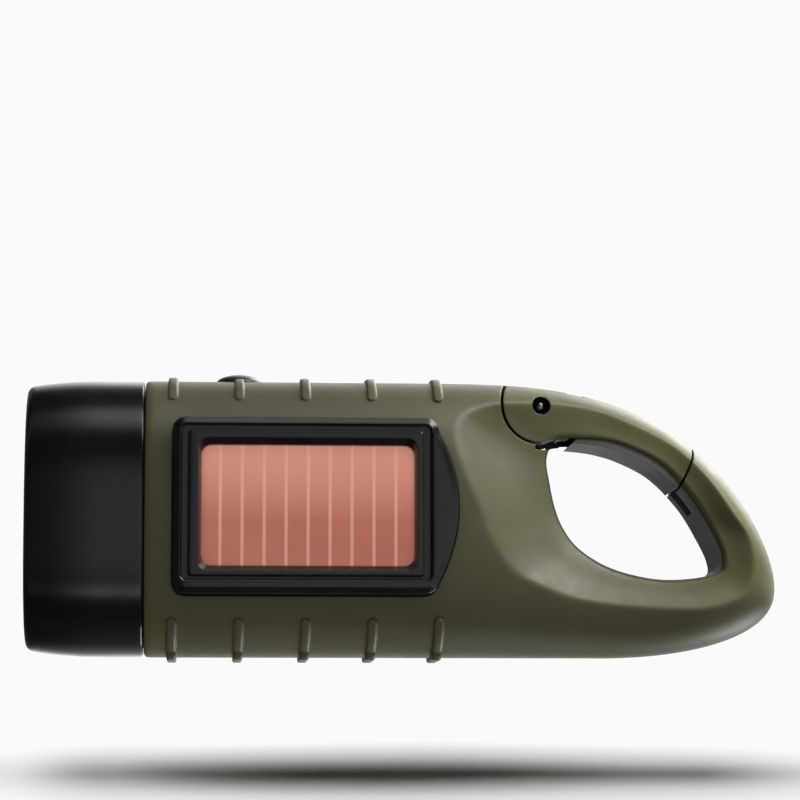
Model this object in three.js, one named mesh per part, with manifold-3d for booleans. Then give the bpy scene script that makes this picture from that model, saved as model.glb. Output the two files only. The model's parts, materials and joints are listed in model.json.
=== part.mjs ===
// Hand crank flashlight: solar panel on one side, folding crank on the other,
// a lamp head at the front and a sprung carabiner loop at the tail.
// Millimetres. X runs from lamp to loop, Y from solar side to crank side, Z is up.
import * as THREE from 'three';
import { mergeVertices } from 'three/addons/utils/BufferGeometryUtils.js';
import Module from 'manifold-3d';

const wasm = await Module();
wasm.setup();

// Fits shared by all pieces
const CLEARANCE = 0.3;
const SEAM = 0.3;
const CUT_OVERRUN = 30;

// Barrel and tail, measured from the barrel's axis
const HALF_HEIGHT = 24.6;
const HALF_DEPTH = 17;
const SECTION_POWER = 2.6;
const HEAD_FRONT_X = -66.1;
const BODY_FRONT_X = -45.8;
const TIP_X = 68;
const TIP_DROP_SHARE = 0.4675;
const TOP_FALL_START_X = 5;
const TOP_FALL_POWER = 3.15;
const TOP_ROUND_POWER = 1.45;
const BOTTOM_RISE_START_X = 36;
const BOTTOM_RISE_POWER = 2.1;
const BOTTOM_ROUND_POWER = 2.5;
const LOOP_HALF_DEPTH = 12;
const DEPTH_FADE_END_X = 45;
const NOSE_START_X = 50;
const NOSE_POWER = 2.4;
const WALL = 1.8;
const BULKHEAD = 1.5;
const CRANK_FACET_INSET = 2.2;
const PANEL_FLOOR_INSET = 5;
const CAVITY_TAPER_X = 12;
const CAVITY_END_X = 22;
const CAVITY_END_HALF_DEPTH = 8.8;

// Stand ribs above and below the barrel
const RIB_FIRST_X = -40.4;
const RIB_PITCH = 11.7;
const RIB_COUNT = 5;
const RIB_WIDTH = 1.7;
const RIB_HEIGHT = 0.7;
const RIB_TOP_REACH = 4.6;
const RIB_BOTTOM_REACH = 6.4;
const FOOT_HALF_WIDTH = 8;
const FOOT_ROOT = 3;

// Carabiner loop
const LOOP_X = 42;
const LOOP_RISE_SHARE = 0.02;
const OPENING_HALF_LENGTH = 15.6;
const OPENING_RISE_SHARE = 0.512;
const RIDGE_REACH = 32;
const RIDGE_RISE_SHARE = 0.825;
const LOOP_EDGE_HALF_DEPTH = 8;
const LINER_THICKNESS = 1.8;
const LINER_LIP = 1;
const GATE_LINER_STEP = 0.5;
const openingShares = [
  [-1.0, 0.8], [-0.9, 0.985], [-0.75, 1.04], [-0.56, 1.04], [-0.385, 1.01], [-0.09, 0.905],
  [0.29, 0.66], [0.64, 0.21], [0.865, -0.26], [0.985, -0.6], [0.99, -0.76], [0.88, -0.85],
  [0.6, -0.92], [0.2, -0.925], [-0.33, -0.76], [-0.69, -0.485], [-0.87, -0.1], [-0.97, 0.3],
];
const ridgeShares = [
  [-1.005, 0.82], [-0.935, 0.375], [-0.855, 0.02], [-0.772, -0.285], [-0.66, -0.545],
  [-0.49, -0.695], [-0.22, -0.81], [0.06, -0.86], [0.335, -0.865], [0.52, -0.82], [0.64, -0.6],
  [0.655, -0.33], [0.6, -0.07], [0.36, 0.435], [0.155, 0.6], [-0.09, 0.74], [-0.425, 0.925],
  [-0.735, 1.0], [-0.94, 0.98],
];
const FLARE_OVERRUN_SHARE = 0.25;
const FLARE_CAP_Y = 24;

// Gate and its hinge
const GATE_PIN_FORE = 17;
const GATE_PIN_INSET = 4.6;
const GATE_DISC_RADIUS = 7.7;
const GATE_GAP = 0.7;
const GATE_JOINT_RADIUS = 29.2;
const GATE_JOINT_GAP = 0.5;
const GATE_JOINT_LOW_DEG = -45;
const GATE_JOINT_HIGH_DEG = 20;
const GATE_HEEL_OFFSET = 2.5;
const GATE_HEEL_RUN = 2;
const GATE_FOOT_SHARE = 0.865;
const FORK_HALF_GAP = 4.3;
const FORK_RADIUS = 8.6;
const KNUCKLE_RADIUS = 5.8;
const KNUCKLE_NECK_HALF = 4.6;
const SPRING_POCKET_RADIUS = 4.3;
const SPRING_POCKET_HALF = 2.1;
const PIN_RADIUS = 1.2;
const PIN_INSET = 1.1;
const SPRING_MEAN_RADIUS = 2.5;
const SPRING_WIRE_RADIUS = 0.4;
const SPRING_PITCH = 0.95;
const SPRING_TURNS = 3;
const SPRING_TURN_STEPS = 8;
const SPRING_LEG = 7.6;
const SPRING_SHORT_LEG = 2.2;
const TONGUE_REACH = 3;
const TONGUE_ROOT = 3.7;
const TONGUE_HIGH_TURN = 5;
const TONGUE_LOW_TURN = 0.5;
const TONGUE_HALF_WIDTH = 2.2;
const NOTCH_LOW_TURN = -8.5;
const NOTCH_MARGIN_TURN = 0.8;

// Lamp head
const HEAD_TAPER_HEIGHT = 1.2;
const HEAD_TAPER_DEPTH = 0.8;
const HEAD_EDGE = 1.2;
const HEAD_GROW_END_X = -53;
const HEAD_WALL = 1.6;
const HEAD_LIP = 1;
const HEAD_LIP_OVERHANG = 1.6;
const LENS_THICKNESS = 1.6;
const REFLECTOR_FLANGE = 1;
const CUP_SPACING_SHARE = 0.537;
const CUP_FRONT_SHARE = 0.256;
const CUP_BACK_RADIUS = 3.4;
const CUP_WALL = 0.7;
const LED_RADIUS = 2.5;
const LED_FLANGE_RADIUS = 2.9;
const LED_FLANGE = 1;
const LED_STRAIGHT = 3.4;
const BOARD_THICKNESS = 1.6;
const NECK_LENGTH = 4.1;
const NECK_WALL = 1.4;
const LED_BOARD_EDGE = 0.6;

// Solar panel
const BEZEL_LEFT_X = -40.6;
const BEZEL_CORNER_X = 5.6;
const BEZEL_BULGE = 3.9;
const BEZEL_RAISE_SHARE = 0.03;
const BEZEL_HEIGHT_SHARE = 0.624;
const BEZEL_CORNER = 2.4;
const BEZEL_PROUD = 2;
const BEZEL_SEAT_INSET = 3.4;
const BEZEL_RIM = 1.2;
const BEZEL_LIP_DROP = 0.6;
const GROOVE_WIDTH = 1.3;
const GROOVE_DROP = 1.5;
const FRAME_LEFT = 3.1;
const FRAME_RIGHT = 2.2;
const FRAME_TOP = 2.2;
const FRAME_BOTTOM = 3.4;
const WINDOW_LEFT = 2.2;
const WINDOW_RIGHT = 1.5;
const WINDOW_TOP = 2;
const WINDOW_BOTTOM = 1.3;
const WINDOW_CORNER = 1.8;
const CELL_MARGIN = 0.7;
const CELL_THICKNESS = 1;
const WINDOW_DEPTH = 1.5;
const WIRE_HOLE_RADIUS = 1.5;

// Power button and switch
const BUTTON_RADIUS = 4.15;
const BUTTON_RISE = 1.7;
const BUTTON_SHOULDER_INSET = 0.2;
const BUTTON_FLANGE_INSET = 2.6;
const BUTTON_FLANGE = 0.8;
const BUTTON_FLANGE_RADIUS = 5.2;
const BUTTON_STEM_RADIUS = 1.5;
const BUTTON_STEM = 1.6;
const BUTTON_RIB_CLEARANCE = 1;
const PLUNGER_RADIUS = 1.7;
const PLUNGER_LENGTH = 2;
const SWITCH_HALF = 3.1;
const SWITCH_HEIGHT = 2.8;
const SWITCH_FLOOR = 0.7;
const CIRCUIT_INSET = 9.4;
const CIRCUIT_THICKNESS = 1.2;
const CIRCUIT_HALF_LENGTH = 8.6;
const CIRCUIT_FRONT_GAP = 3;
const CIRCUIT_BACK_GAP = 4.8;
const SHELF_THICKNESS = 1.5;
const SHELF_WIDTH = 3;
const SHELF_BACK_Y = -2;

// Battery and its cradle
const BATTERY_X = -30;
const BATTERY_DROP_SHARE = 0.325;
const BATTERY_RADIUS = 8;
const BATTERY_HALF_LENGTH = 8;
const BATTERY_CHAMFER = 0.6;
const CRADLE_WALL = 1.3;
const CRADLE_BACK_Y = 6;

// Gear train from the crank to the generator
const CRANK_X = -10;
const PRESSURE_DEG = 25;
const TOOTH_WIDTH_SHARE = 0.86;
const ADDENDUM_SHARE = 0.75;
const DEDENDUM_SHARE = 1;
const GEARS_REACH_SHARE = 0.5854;
const CRANK_TEETH = 36;
const FIRST_PINION_TEETH = 10;
const FIRST_WHEEL_MODULE_SHARE = 0.75;
const FIRST_WHEEL_TEETH = 32;
const SECOND_PINION_TEETH = 10;
const SECOND_WHEEL_MODULE_SHARE = 0.625;
const SECOND_WHEEL_TEETH = 28;
const ROTOR_PINION_TEETH = 10;
const FIRST_MESH_DEG = 15;
const SECOND_MESH_DEG = -80;
const THIRD_MESH_DEG = 185;
const CRANK_GEAR_WIDTH_SHARE = 0.165;
const CRANK_STUB_RADIUS = 2;
const CRANK_SHAFT_RADIUS = 3.4;
const FIRST_WHEEL_WIDTH_SHARE = 0.118;
const SECOND_WHEEL_WIDTH_SHARE = 0.106;
const GEAR_FACE_GAP_SHARE = 0.047;
const PINION_OVERHANG = 0.2;
const GEAR_HUB_SHARE = 0.18;
const AXLE_RADIUS = 1;
const AXLE_SEAT = 0.9;
const PLATE_THICKNESS_SHARE = 0.082;
const PLATE_EDGE = 2.8;
const plateScrewShares = [
  { along: 0.063, rise: 0.745 },
  { along: -0.127, rise: -0.745 },
  { along: 0.861, rise: -0.632 },
];
const POST_RADIUS = 2.5;
const PLATE_SCREW_RADIUS = 0.9;
const PLATE_SCREW_HEAD_RADIUS = 2;
const PLATE_SCREW_HEAD = 1.4;
const PLATE_SCREW_LENGTH = 6;

// Generator
const GENERATOR_RADIUS_SHARE = 0.447;
const GENERATOR_WALL = 0.9;
const GENERATOR_DEPTH_SHARE = 0.72;
const COIL_INNER_SHARE = 0.61;
const COIL_END_GAP = 1;
const MAGNET_RADIUS_SHARE = 0.545;
const MAGNET_LENGTH_SHARE = 0.67;
const ROTOR_SHAFT_RADIUS = 0.8;

// Crank
const BUSH_BORE_GAP = 0.3;
const BUSH_WALL = 1;
const BUSH_FLANGE = 0.6;
const BUSH_FLANGE_RADIUS = 6.2;
const ARM_GAP = 0.4;
const ARM_THICKNESS = 4.6;
const ARM_HUB_RADIUS = 9;
const ARM_END_RADIUS = 7;
const ARM_LENGTH = 28;
const ARM_EDGE = 0.7;
const KNOB_LENGTH = 17;
const KNOB_WIDTH = 8.8;
const KNOB_PIN_RADIUS = 0.9;
const KNOB_PIN_INSET = 0.6;
const KNOB_EDGE = 0.6;
const SOCKET_HALF = 2;
const SOCKET_DEPTH = 1.6;
const HUB_WEB = 1.2;
const CRANK_SCREW_HEAD_RADIUS = 3;
const CRANK_SCREW_HEAD = 1.3;
const CRANK_SCREW_RADIUS = 1.2;
const CRANK_SCREW_LENGTH = 7;

// Case screws, driven from the crank side
const CASE_SCREW_FRONT_INSET = 4.8;
const CASE_SCREW_TAIL_INSET = 11;
const CASE_SCREW_FRONT_SHARE = 0.63;
const CASE_SCREW_GATE_SHARE = 0.756;
const CASE_SCREW_TAIL_SHARE = 0.61;
const CASE_SCREW_SEAT_SHARE = 0.4;
const CASE_SCREW_RADIUS = 1;
const CASE_SCREW_LENGTH = 12;
const CASE_SCREW_HEAD_RADIUS = 2.3;
const CASE_SCREW_HEAD = 1.6;
const CASE_BOSS_RADIUS = 3;

// Facets of round and swept forms
const SECTION_SIDES = 36;
const TAIL_STATIONS = 18;
const TAIL_END_SHARE = 0.998;
const LOOP_SIDES = 52;
const ROUND_SIDES = 24;
const SMALL_SIDES = 12;
const SCREW_SIDES = 10;
const CORNER_STEPS = 4;
const BOW_STEPS = 7;
const WIRE_SIDES = 5;

// Places worked out from the sizes above
const RAD = Math.PI / 180;
const tipZ = -TIP_DROP_SHARE * HALF_HEIGHT;
const loopZ = LOOP_RISE_SHARE * HALF_HEIGHT;
const openingHalfHeight = OPENING_RISE_SHARE * HALF_HEIGHT;
const ridgeRise = RIDGE_RISE_SHARE * HALF_HEIGHT;
const crankFacetY = HALF_DEPTH - CRANK_FACET_INSET;
const crankWallY = crankFacetY - WALL;
const panelFloorY = PANEL_FLOOR_INSET - HALF_DEPTH;
const ribXs = Array.from({ length: RIB_COUNT }, (_, i) => RIB_FIRST_X + i * RIB_PITCH);
const BUTTON_X = ribXs[1];
const gatePin = { x: LOOP_X - GATE_PIN_FORE, z: HALF_HEIGHT - GATE_PIN_INSET };
const crankModule = 2 * GEARS_REACH_SHARE * HALF_HEIGHT / CRANK_TEETH;
const firstModule = FIRST_WHEEL_MODULE_SHARE * crankModule;
const secondModule = SECOND_WHEEL_MODULE_SHARE * crankModule;
const crankAxis = { x: CRANK_X, z: 0 };
const firstAxis = meshPlace(crankAxis, crankModule, CRANK_TEETH, FIRST_PINION_TEETH, FIRST_MESH_DEG);
const secondAxis = meshPlace(
  firstAxis, firstModule, FIRST_WHEEL_TEETH, SECOND_PINION_TEETH, SECOND_MESH_DEG,
);
const rotorAxis = meshPlace(
  secondAxis, secondModule, SECOND_WHEEL_TEETH, ROTOR_PINION_TEETH, THIRD_MESH_DEG,
);
const armBackY = crankFacetY + ARM_GAP;
const armFaceY = armBackY + ARM_THICKNESS;

// The gears are stacked from the crank's wall down to the gear plate
const bushFlangeY = crankWallY - CLEARANCE - BUSH_FLANGE;
const crankGearWidth = CRANK_GEAR_WIDTH_SHARE * HALF_DEPTH;
const firstWheelWidth = FIRST_WHEEL_WIDTH_SHARE * HALF_DEPTH;
const secondWheelWidth = SECOND_WHEEL_WIDTH_SHARE * HALF_DEPTH;
const gearFaceGap = GEAR_FACE_GAP_SHARE * HALF_DEPTH;
const crankGearY = bushFlangeY - 2 * CLEARANCE - crankGearWidth;
const firstWheelY = crankGearY - gearFaceGap - firstWheelWidth;
const secondWheelY = firstWheelY - gearFaceGap - secondWheelWidth;
const plateTopY = secondWheelY - gearFaceGap;
const plateY = plateTopY - PLATE_THICKNESS_SHARE * HALF_DEPTH;
const caseRimY = plateY - CLEARANCE;
const caseFloorY = caseRimY - GENERATOR_DEPTH_SHARE * (caseRimY - panelFloorY);
const generatorRadius = GENERATOR_RADIUS_SHARE * HALF_HEIGHT;
const caseScrewSeatY = CASE_SCREW_SEAT_SHARE * crankFacetY;
const caseScrewPlaces = [
  { x: BODY_FRONT_X + CASE_SCREW_FRONT_INSET, z: CASE_SCREW_FRONT_SHARE * HALF_HEIGHT },
  { x: BODY_FRONT_X + CASE_SCREW_FRONT_INSET, z: -CASE_SCREW_FRONT_SHARE * HALF_HEIGHT },
  { x: gatePin.x, z: -CASE_SCREW_GATE_SHARE * HALF_HEIGHT },
  { x: TIP_X - CASE_SCREW_TAIL_INSET, z: -CASE_SCREW_TAIL_SHARE * HALF_HEIGHT },
];

// Where the driven axis lies, a centre distance away from the driving one
function meshPlace(from, module, teeth, pinionTeeth, degrees) {
  const distance = module * (teeth + pinionTeeth) / 2;
  return {
    x: from.x + distance * Math.cos(degrees * RAD),
    z: from.z + distance * Math.sin(degrees * RAD),
  };
}

// Turn of a driven gear that puts a gap where the driving gear has a tooth
function meshPhase(drivingPhase, teeth, pinionTeeth, degrees) {
  const direction = degrees * RAD;
  const share = (direction - drivingPhase) / (2 * Math.PI / teeth);
  return direction + Math.PI - (2 * Math.PI / pinionTeeth) * (1 / 2 - share);
}

// Solids and booleans

// Turns any closed geometry into a solid that faces outwards
function solid(geometry) {
  const bare = geometry.clone();
  bare.deleteAttribute('normal');
  bare.deleteAttribute('uv');
  const merged = mergeVertices(bare);
  const places = merged.attributes.position;
  const whole = [];
  let volume = 0;
  const a = new THREE.Vector3();
  const b = new THREE.Vector3();
  const c = new THREE.Vector3();
  for (let i = 0; i < merged.index.count; i += 3) {
    const corner = [0, 1, 2].map((k) => merged.index.getX(i + k));
    if (new Set(corner).size < 3) continue;
    whole.push(corner);
    a.fromBufferAttribute(places, corner[0]);
    b.fromBufferAttribute(places, corner[1]);
    c.fromBufferAttribute(places, corner[2]);
    volume += a.dot(b.cross(c));
  }
  const facing = volume < 0 ? whole.map(([i, j, k]) => [i, k, j]) : whole;
  return new wasm.Manifold(new wasm.Mesh({
    numProp: 3,
    vertProperties: new Float32Array(places.array),
    triVerts: new Uint32Array(facing.flat()),
  }));
}

// Turns a solid back into a geometry
function toGeometry(body) {
  const mesh = body.getMesh();
  const geometry = new THREE.BufferGeometry();
  geometry.setAttribute('position', new THREE.BufferAttribute(mesh.vertProperties, 3));
  geometry.setIndex(new THREE.BufferAttribute(mesh.triVerts, 1));
  return geometry;
}

const join = (...solids) => solids.reduce((all, one) => all.add(one));
const cut = (from, ...tools) => tools.reduce((rest, tool) => rest.subtract(tool), from);

function box(x0, x1, y0, y1, z0, z1) {
  const geometry = new THREE.BoxGeometry(x1 - x0, y1 - y0, z1 - z0);
  return solid(geometry.translate((x0 + x1) / 2, (y0 + y1) / 2, (z0 + z1) / 2));
}

// A round bar along Y
function barY(place, radius, y0, y1, sides = SMALL_SIDES) {
  const geometry = new THREE.CylinderGeometry(radius, radius, y1 - y0, sides);
  return solid(geometry.translate(place.x, (y0 + y1) / 2, place.z));
}

// A round bar along Z
function barZ(x, y, radius, z0, z1, sides = SMALL_SIDES) {
  const geometry = new THREE.CylinderGeometry(radius, radius, z1 - z0, sides).rotateX(Math.PI / 2);
  return solid(geometry.translate(x, y, (z0 + z1) / 2));
}

// A turned piece about an axis along Y; the profile lists radius and y
function turnedY(place, profile, sides = ROUND_SIDES) {
  const points = profile.map(([radius, y]) => new THREE.Vector2(radius, y));
  return solid(new THREE.LatheGeometry(points, sides).translate(place.x, 0, place.z));
}

// A shape drawn in X and Z, thickened along Y, with an optional bevel
function plate(shape, y0, y1, edge = 0, steps = CORNER_STEPS) {
  const geometry = new THREE.ExtrudeGeometry(shape, {
    depth: y1 - y0 - 2 * edge,
    bevelEnabled: edge > 0,
    bevelSize: edge,
    bevelThickness: edge,
    bevelOffset: -edge,
    bevelSegments: 1,
    curveSegments: steps,
  });
  return solid(geometry.rotateX(Math.PI / 2).translate(0, y1 - edge, 0));
}

const polygon = (points) => new THREE.Shape(points.map(([x, z]) => new THREE.Vector2(x, z)));

const middle = (ring) => ring.reduce((sum, p) => sum.clone().add(p)).divideScalar(ring.length);

// A closed skin through rings of equally many points, its end faces fanned from a hub
function loft(rings, hub = middle) {
  const sides = rings[0].length;
  const corners = [...rings.flat(), hub(rings[0]), hub(rings.at(-1))];
  const places = corners.flatMap((p) => [p.x, p.y, p.z]);
  const faces = [];
  rings.slice(1).forEach((_, i) => {
    for (let k = 0; k < sides; k += 1) {
      const next = (k + 1) % sides;
      const [a, b] = [i * sides + k, i * sides + next];
      faces.push(a, b, b + sides, a, b + sides, a + sides);
    }
  });
  const last = (rings.length - 1) * sides;
  for (let k = 0; k < sides; k += 1) {
    const next = (k + 1) % sides;
    faces.push(k, corners.length - 2, next);
    faces.push(last + k, last + next, corners.length - 1);
  }
  const geometry = new THREE.BufferGeometry();
  geometry.setAttribute('position', new THREE.Float32BufferAttribute(places, 3));
  geometry.setIndex(faces);
  return solid(geometry);
}

// Form of the barrel and tail

const shareOf = (x, from, to) => THREE.MathUtils.clamp((x - from) / (to - from), 0, 1);

function topZ(x) {
  const share = shareOf(x, TOP_FALL_START_X, TIP_X);
  return tipZ + (HALF_HEIGHT - tipZ) * (1 - share ** TOP_FALL_POWER) ** (1 / TOP_ROUND_POWER);
}

function bottomZ(x) {
  const share = shareOf(x, BOTTOM_RISE_START_X, TIP_X);
  const round = (1 - share ** BOTTOM_RISE_POWER) ** (1 / BOTTOM_ROUND_POWER);
  return tipZ - (HALF_HEIGHT + tipZ) * round;
}

function halfDepth(x) {
  const fade = THREE.MathUtils.smoothstep(x, 0, DEPTH_FADE_END_X);
  const nose = (1 - shareOf(x, NOSE_START_X, TIP_X) ** NOSE_POWER) ** (1 / NOSE_POWER);
  return THREE.MathUtils.lerp(HALF_DEPTH, LOOP_HALF_DEPTH, fade) * nose;
}

// Depth of the outer skin above the mid plane at a place in the side view
function skinDepth(x, z) {
  const half = (topZ(x) - bottomZ(x)) / 2;
  const share = Math.min(Math.abs(z - (topZ(x) + bottomZ(x)) / 2) / half, 1);
  return halfDepth(x) * (1 - share ** SECTION_POWER) ** (1 / SECTION_POWER);
}

// A rounded cross-section, wound round the X axis
function section(x, depth, top, bottom) {
  return Array.from({ length: SECTION_SIDES }, (_, i) => {
    const angle = (i / SECTION_SIDES) * 2 * Math.PI;
    const [c, s] = [Math.cos(angle), Math.sin(angle)];
    const y = depth * Math.sign(c) * Math.abs(c) ** (2 / SECTION_POWER);
    const lift = Math.sign(s) * Math.abs(s) ** (2 / SECTION_POWER);
    return new THREE.Vector3(x, y, (top + bottom) / 2 + lift * (top - bottom) / 2);
  });
}

const tube = (x0, x1, depth, height) => loft([x0, x1].map((x) => section(x, depth, height, -height)));

function bodyBlock() {
  const xs = [BODY_FRONT_X, 0];
  for (let i = 1; i <= TAIL_STATIONS; i += 1) {
    const share = Math.sin((Math.PI / 2) * (i / TAIL_STATIONS));
    xs.push(TIP_X * Math.min(share, TAIL_END_SHARE));
  }
  return loft(xs.map((x) => section(x, halfDepth(x), topZ(x), bottomZ(x))));
}

// The room inside the barrel, tapered clear of the loop's sloping face
function cavityBlock() {
  const front = BODY_FRONT_X + BULKHEAD;
  const high = HALF_HEIGHT - WALL;
  const deep = HALF_DEPTH - WALL;
  const room = loft([
    section(front, deep, high, -high),
    section(CAVITY_TAPER_X, deep, high, -high),
    section(CAVITY_END_X, CAVITY_END_HALF_DEPTH, high - WALL, -high + WALL),
  ]);
  const inner = crankWallY;
  return room.intersect(box(front, CAVITY_END_X, panelFloorY, inner, -CUT_OVERRUN, CUT_OVERRUN));
}

// A closed smooth outline round the loop's centre, as distances by angle
function outlineAround(shares, reach, rise) {
  const knots = shares.map(([u, v]) => new THREE.Vector3(u * reach, v * rise, 0));
  const curve = new THREE.CatmullRomCurve3(knots, true);
  const samples = curve.getPoints(LOOP_SIDES * 8).map((p) => ({
    angle: (Math.atan2(p.y, p.x) + 2 * Math.PI) % (2 * Math.PI),
    reach: p.length(),
  }));
  samples.sort((p, q) => p.angle - q.angle);
  return (angle) => {
    const next = samples.findIndex((p) => p.angle >= angle);
    const after = samples[Math.max(next, 0)];
    const before = samples.at(next <= 0 ? -1 : next - 1);
    const turn = 2 * Math.PI;
    const gap = ((after.angle - before.angle) + turn) % turn;
    const share = gap > 0 ? (((angle - before.angle) + turn) % turn) / gap : 0;
    return THREE.MathUtils.lerp(before.reach, after.reach, share);
  };
}

const openingReach = outlineAround(openingShares, OPENING_HALF_LENGTH, openingHalfHeight);
const ridgeReach = outlineAround(ridgeShares, RIDGE_REACH, ridgeRise);
const loopAngles = Array.from({ length: LOOP_SIDES }, (_, i) => (i / LOOP_SIDES) * 2 * Math.PI);
const aroundLoop = (angle, reach, y) => new THREE.Vector3(
  LOOP_X + reach * Math.cos(angle), y, loopZ + reach * Math.sin(angle),
);

const loopHub = (ring) => new THREE.Vector3(LOOP_X, ring[0].y, loopZ);

// One ring of the flared opening: share 0 is its edge, share 1 the ridge
function flareRing(share, side) {
  return loopAngles.map((angle) => {
    const inner = openingReach(angle);
    const outer = ridgeReach(angle);
    const ridge = aroundLoop(angle, outer, 0);
    const deep = skinDepth(ridge.x, ridge.z);
    const y = THREE.MathUtils.lerp(LOOP_EDGE_HALF_DEPTH, deep, share);
    return aroundLoop(angle, THREE.MathUtils.lerp(inner, outer, share), side * y);
  });
}

function flareCutter() {
  const far = 1 + FLARE_OVERRUN_SHARE;
  const end = (side) => loopAngles.map((angle) => aroundLoop(angle, WALL, side * FLARE_CAP_Y));
  const sides = [flareRing(far, -1), flareRing(0, -1), flareRing(0, 1), flareRing(far, 1)];
  return loft([end(-1), ...sides, end(1)], loopHub);
}

// A band that follows the opening's outline
function loopBand(inset, outset, half) {
  const ring = (offset, y) => loopAngles.map((a) => aroundLoop(a, openingReach(a) + offset, y));
  const outer = loft([ring(outset, -half), ring(outset, half)], loopHub);
  return outer.subtract(loft([ring(inset, -CUT_OVERRUN), ring(inset, CUT_OVERRUN)], loopHub));
}

// A place in the side view, given by its distance and angle from the gate's pin
const fromPin = (reach, degrees) => [
  gatePin.x + reach * Math.cos(degrees * RAD),
  gatePin.z + reach * Math.sin(degrees * RAD),
];

// Side view region that belongs to the gate, widened by a gap
function gateRegion(discGap, jointGap) {
  const arc = Array.from({ length: ROUND_SIDES + 1 }, (_, i) => (
    fromPin(GATE_JOINT_RADIUS + jointGap,
      THREE.MathUtils.lerp(GATE_JOINT_LOW_DEG, GATE_JOINT_HIGH_DEG, i / ROUND_SIDES))
  ));
  const heelX = gatePin.x + GATE_HEEL_OFFSET;
  const wedge = polygon([
    [heelX, gatePin.z + GATE_JOINT_RADIUS / 2],
    [heelX, gatePin.z - GATE_DISC_RADIUS],
    [heelX + GATE_HEEL_RUN, loopZ + GATE_FOOT_SHARE * openingHalfHeight],
    ...arc,
    [arc.at(-1)[0], gatePin.z + GATE_JOINT_RADIUS / 2],
  ]);
  const disc = barY(gatePin, GATE_DISC_RADIUS + discGap, -CUT_OVERRUN, CUT_OVERRUN, 2 * ROUND_SIDES);
  return join(plate(wedge, -CUT_OVERRUN, CUT_OVERRUN), disc);
}

// A wedge between two angles and two distances from the gate's pin
function pinSector(near, far, high, low, half) {
  const arc = Array.from({ length: CORNER_STEPS + 1 }, (_, i) => (
    fromPin(far, THREE.MathUtils.lerp(high, low, i / CORNER_STEPS))
  ));
  return plate(polygon([fromPin(near, high), ...arc, fromPin(near, low)]), -half, half);
}

// Angle at which the joint's arc comes out into the opening
function jointMouth() {
  for (let degrees = 0; degrees > -90; degrees -= 1 / 4) {
    const [x, z] = fromPin(GATE_JOINT_RADIUS, degrees);
    const angle = (Math.atan2(z - loopZ, x - LOOP_X) + 2 * Math.PI) % (2 * Math.PI);
    if (Math.hypot(x - LOOP_X, z - loopZ) < openingReach(angle)) return degrees;
  }
  return GATE_JOINT_LOW_DEG;
}

const outerBody = bodyBlock();
const flare = flareCutter();
const loopBody = cut(outerBody, flare);
const linerGroove = loopBand(-LINER_THICKNESS, LINER_THICKNESS + CLEARANCE,
  LOOP_EDGE_HALF_DEPTH - LINER_LIP + CLEARANCE);
const gateBody = gateRegion(0, 0);
const gateRoom = gateRegion(GATE_GAP, GATE_JOINT_GAP);
const everywhere = [-2 * TIP_X, 2 * TIP_X];
const frontHalf = box(...everywhere, -CUT_OVERRUN, -SEAM / 2, -2 * CUT_OVERRUN, 2 * CUT_OVERRUN);
const backHalf = box(...everywhere, SEAM / 2, crankFacetY, -2 * CUT_OVERRUN, 2 * CUT_OVERRUN);

// Shells

// Ribs above and below, standing on flat feet
function ribs() {
  const high = HALF_HEIGHT + RIB_HEIGHT;
  const deep = HALF_DEPTH + RIB_HEIGHT;
  const ends = cut(
    box(...everywhere, -CUT_OVERRUN, CUT_OVERRUN, -high, CUT_OVERRUN),
    box(...everywhere, -CUT_OVERRUN, CUT_OVERRUN,
      RIB_BOTTOM_REACH - HALF_HEIGHT, HALF_HEIGHT - RIB_TOP_REACH),
  );
  const bands = ribXs.map((x) => {
    const [x0, x1] = [x - RIB_WIDTH / 2, x + RIB_WIDTH / 2];
    const foot = box(x0, x1, -FOOT_HALF_WIDTH, FOOT_HALF_WIDTH, -high, -high + FOOT_ROOT);
    return join(tube(x0, x1, deep, high).intersect(ends), foot);
  });
  const buttonRing = barZ(BUTTON_X, 0, BUTTON_FLANGE_RADIUS + BUTTON_RIB_CLEARANCE, 0, CUT_OVERRUN);
  return cut(join(...bands), buttonRing);
}

function neck() {
  const high = HALF_HEIGHT - HEAD_WALL - CLEARANCE;
  const deep = HALF_DEPTH - HEAD_WALL - CLEARANCE;
  return tube(BODY_FRONT_X - NECK_LENGTH, BODY_FRONT_X + BULKHEAD, deep, high);
}

function neckBore() {
  const high = HALF_HEIGHT - HEAD_WALL - CLEARANCE - NECK_WALL;
  const deep = HALF_DEPTH - HEAD_WALL - CLEARANCE - NECK_WALL;
  const x0 = BODY_FRONT_X - NECK_LENGTH - BULKHEAD;
  return tube(x0, BODY_FRONT_X + 2 * BULKHEAD, deep, high);
}

function knuckle() {
  const half = FORK_HALF_GAP - CLEARANCE;
  const disc = barY(gatePin, KNUCKLE_RADIUS, -half, half, ROUND_SIDES);
  const stem = box(gatePin.x - GATE_DISC_RADIUS - 2 * WALL, gatePin.x, -half, half,
    gatePin.z - KNUCKLE_NECK_HALF, gatePin.z + KNUCKLE_NECK_HALF);
  const pocket = barY(gatePin, SPRING_POCKET_RADIUS, -SPRING_POCKET_HALF, SPRING_POCKET_HALF);
  const mouth = box(gatePin.x, gatePin.x + FORK_RADIUS, -SPRING_POCKET_HALF, SPRING_POCKET_HALF,
    gatePin.z - KNUCKLE_RADIUS, gatePin.z);
  const hole = barY(gatePin, PIN_RADIUS + CLEARANCE, -CUT_OVERRUN, CUT_OVERRUN);
  return cut(join(disc, stem).intersect(outerBody), pocket, mouth, hole);
}

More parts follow.
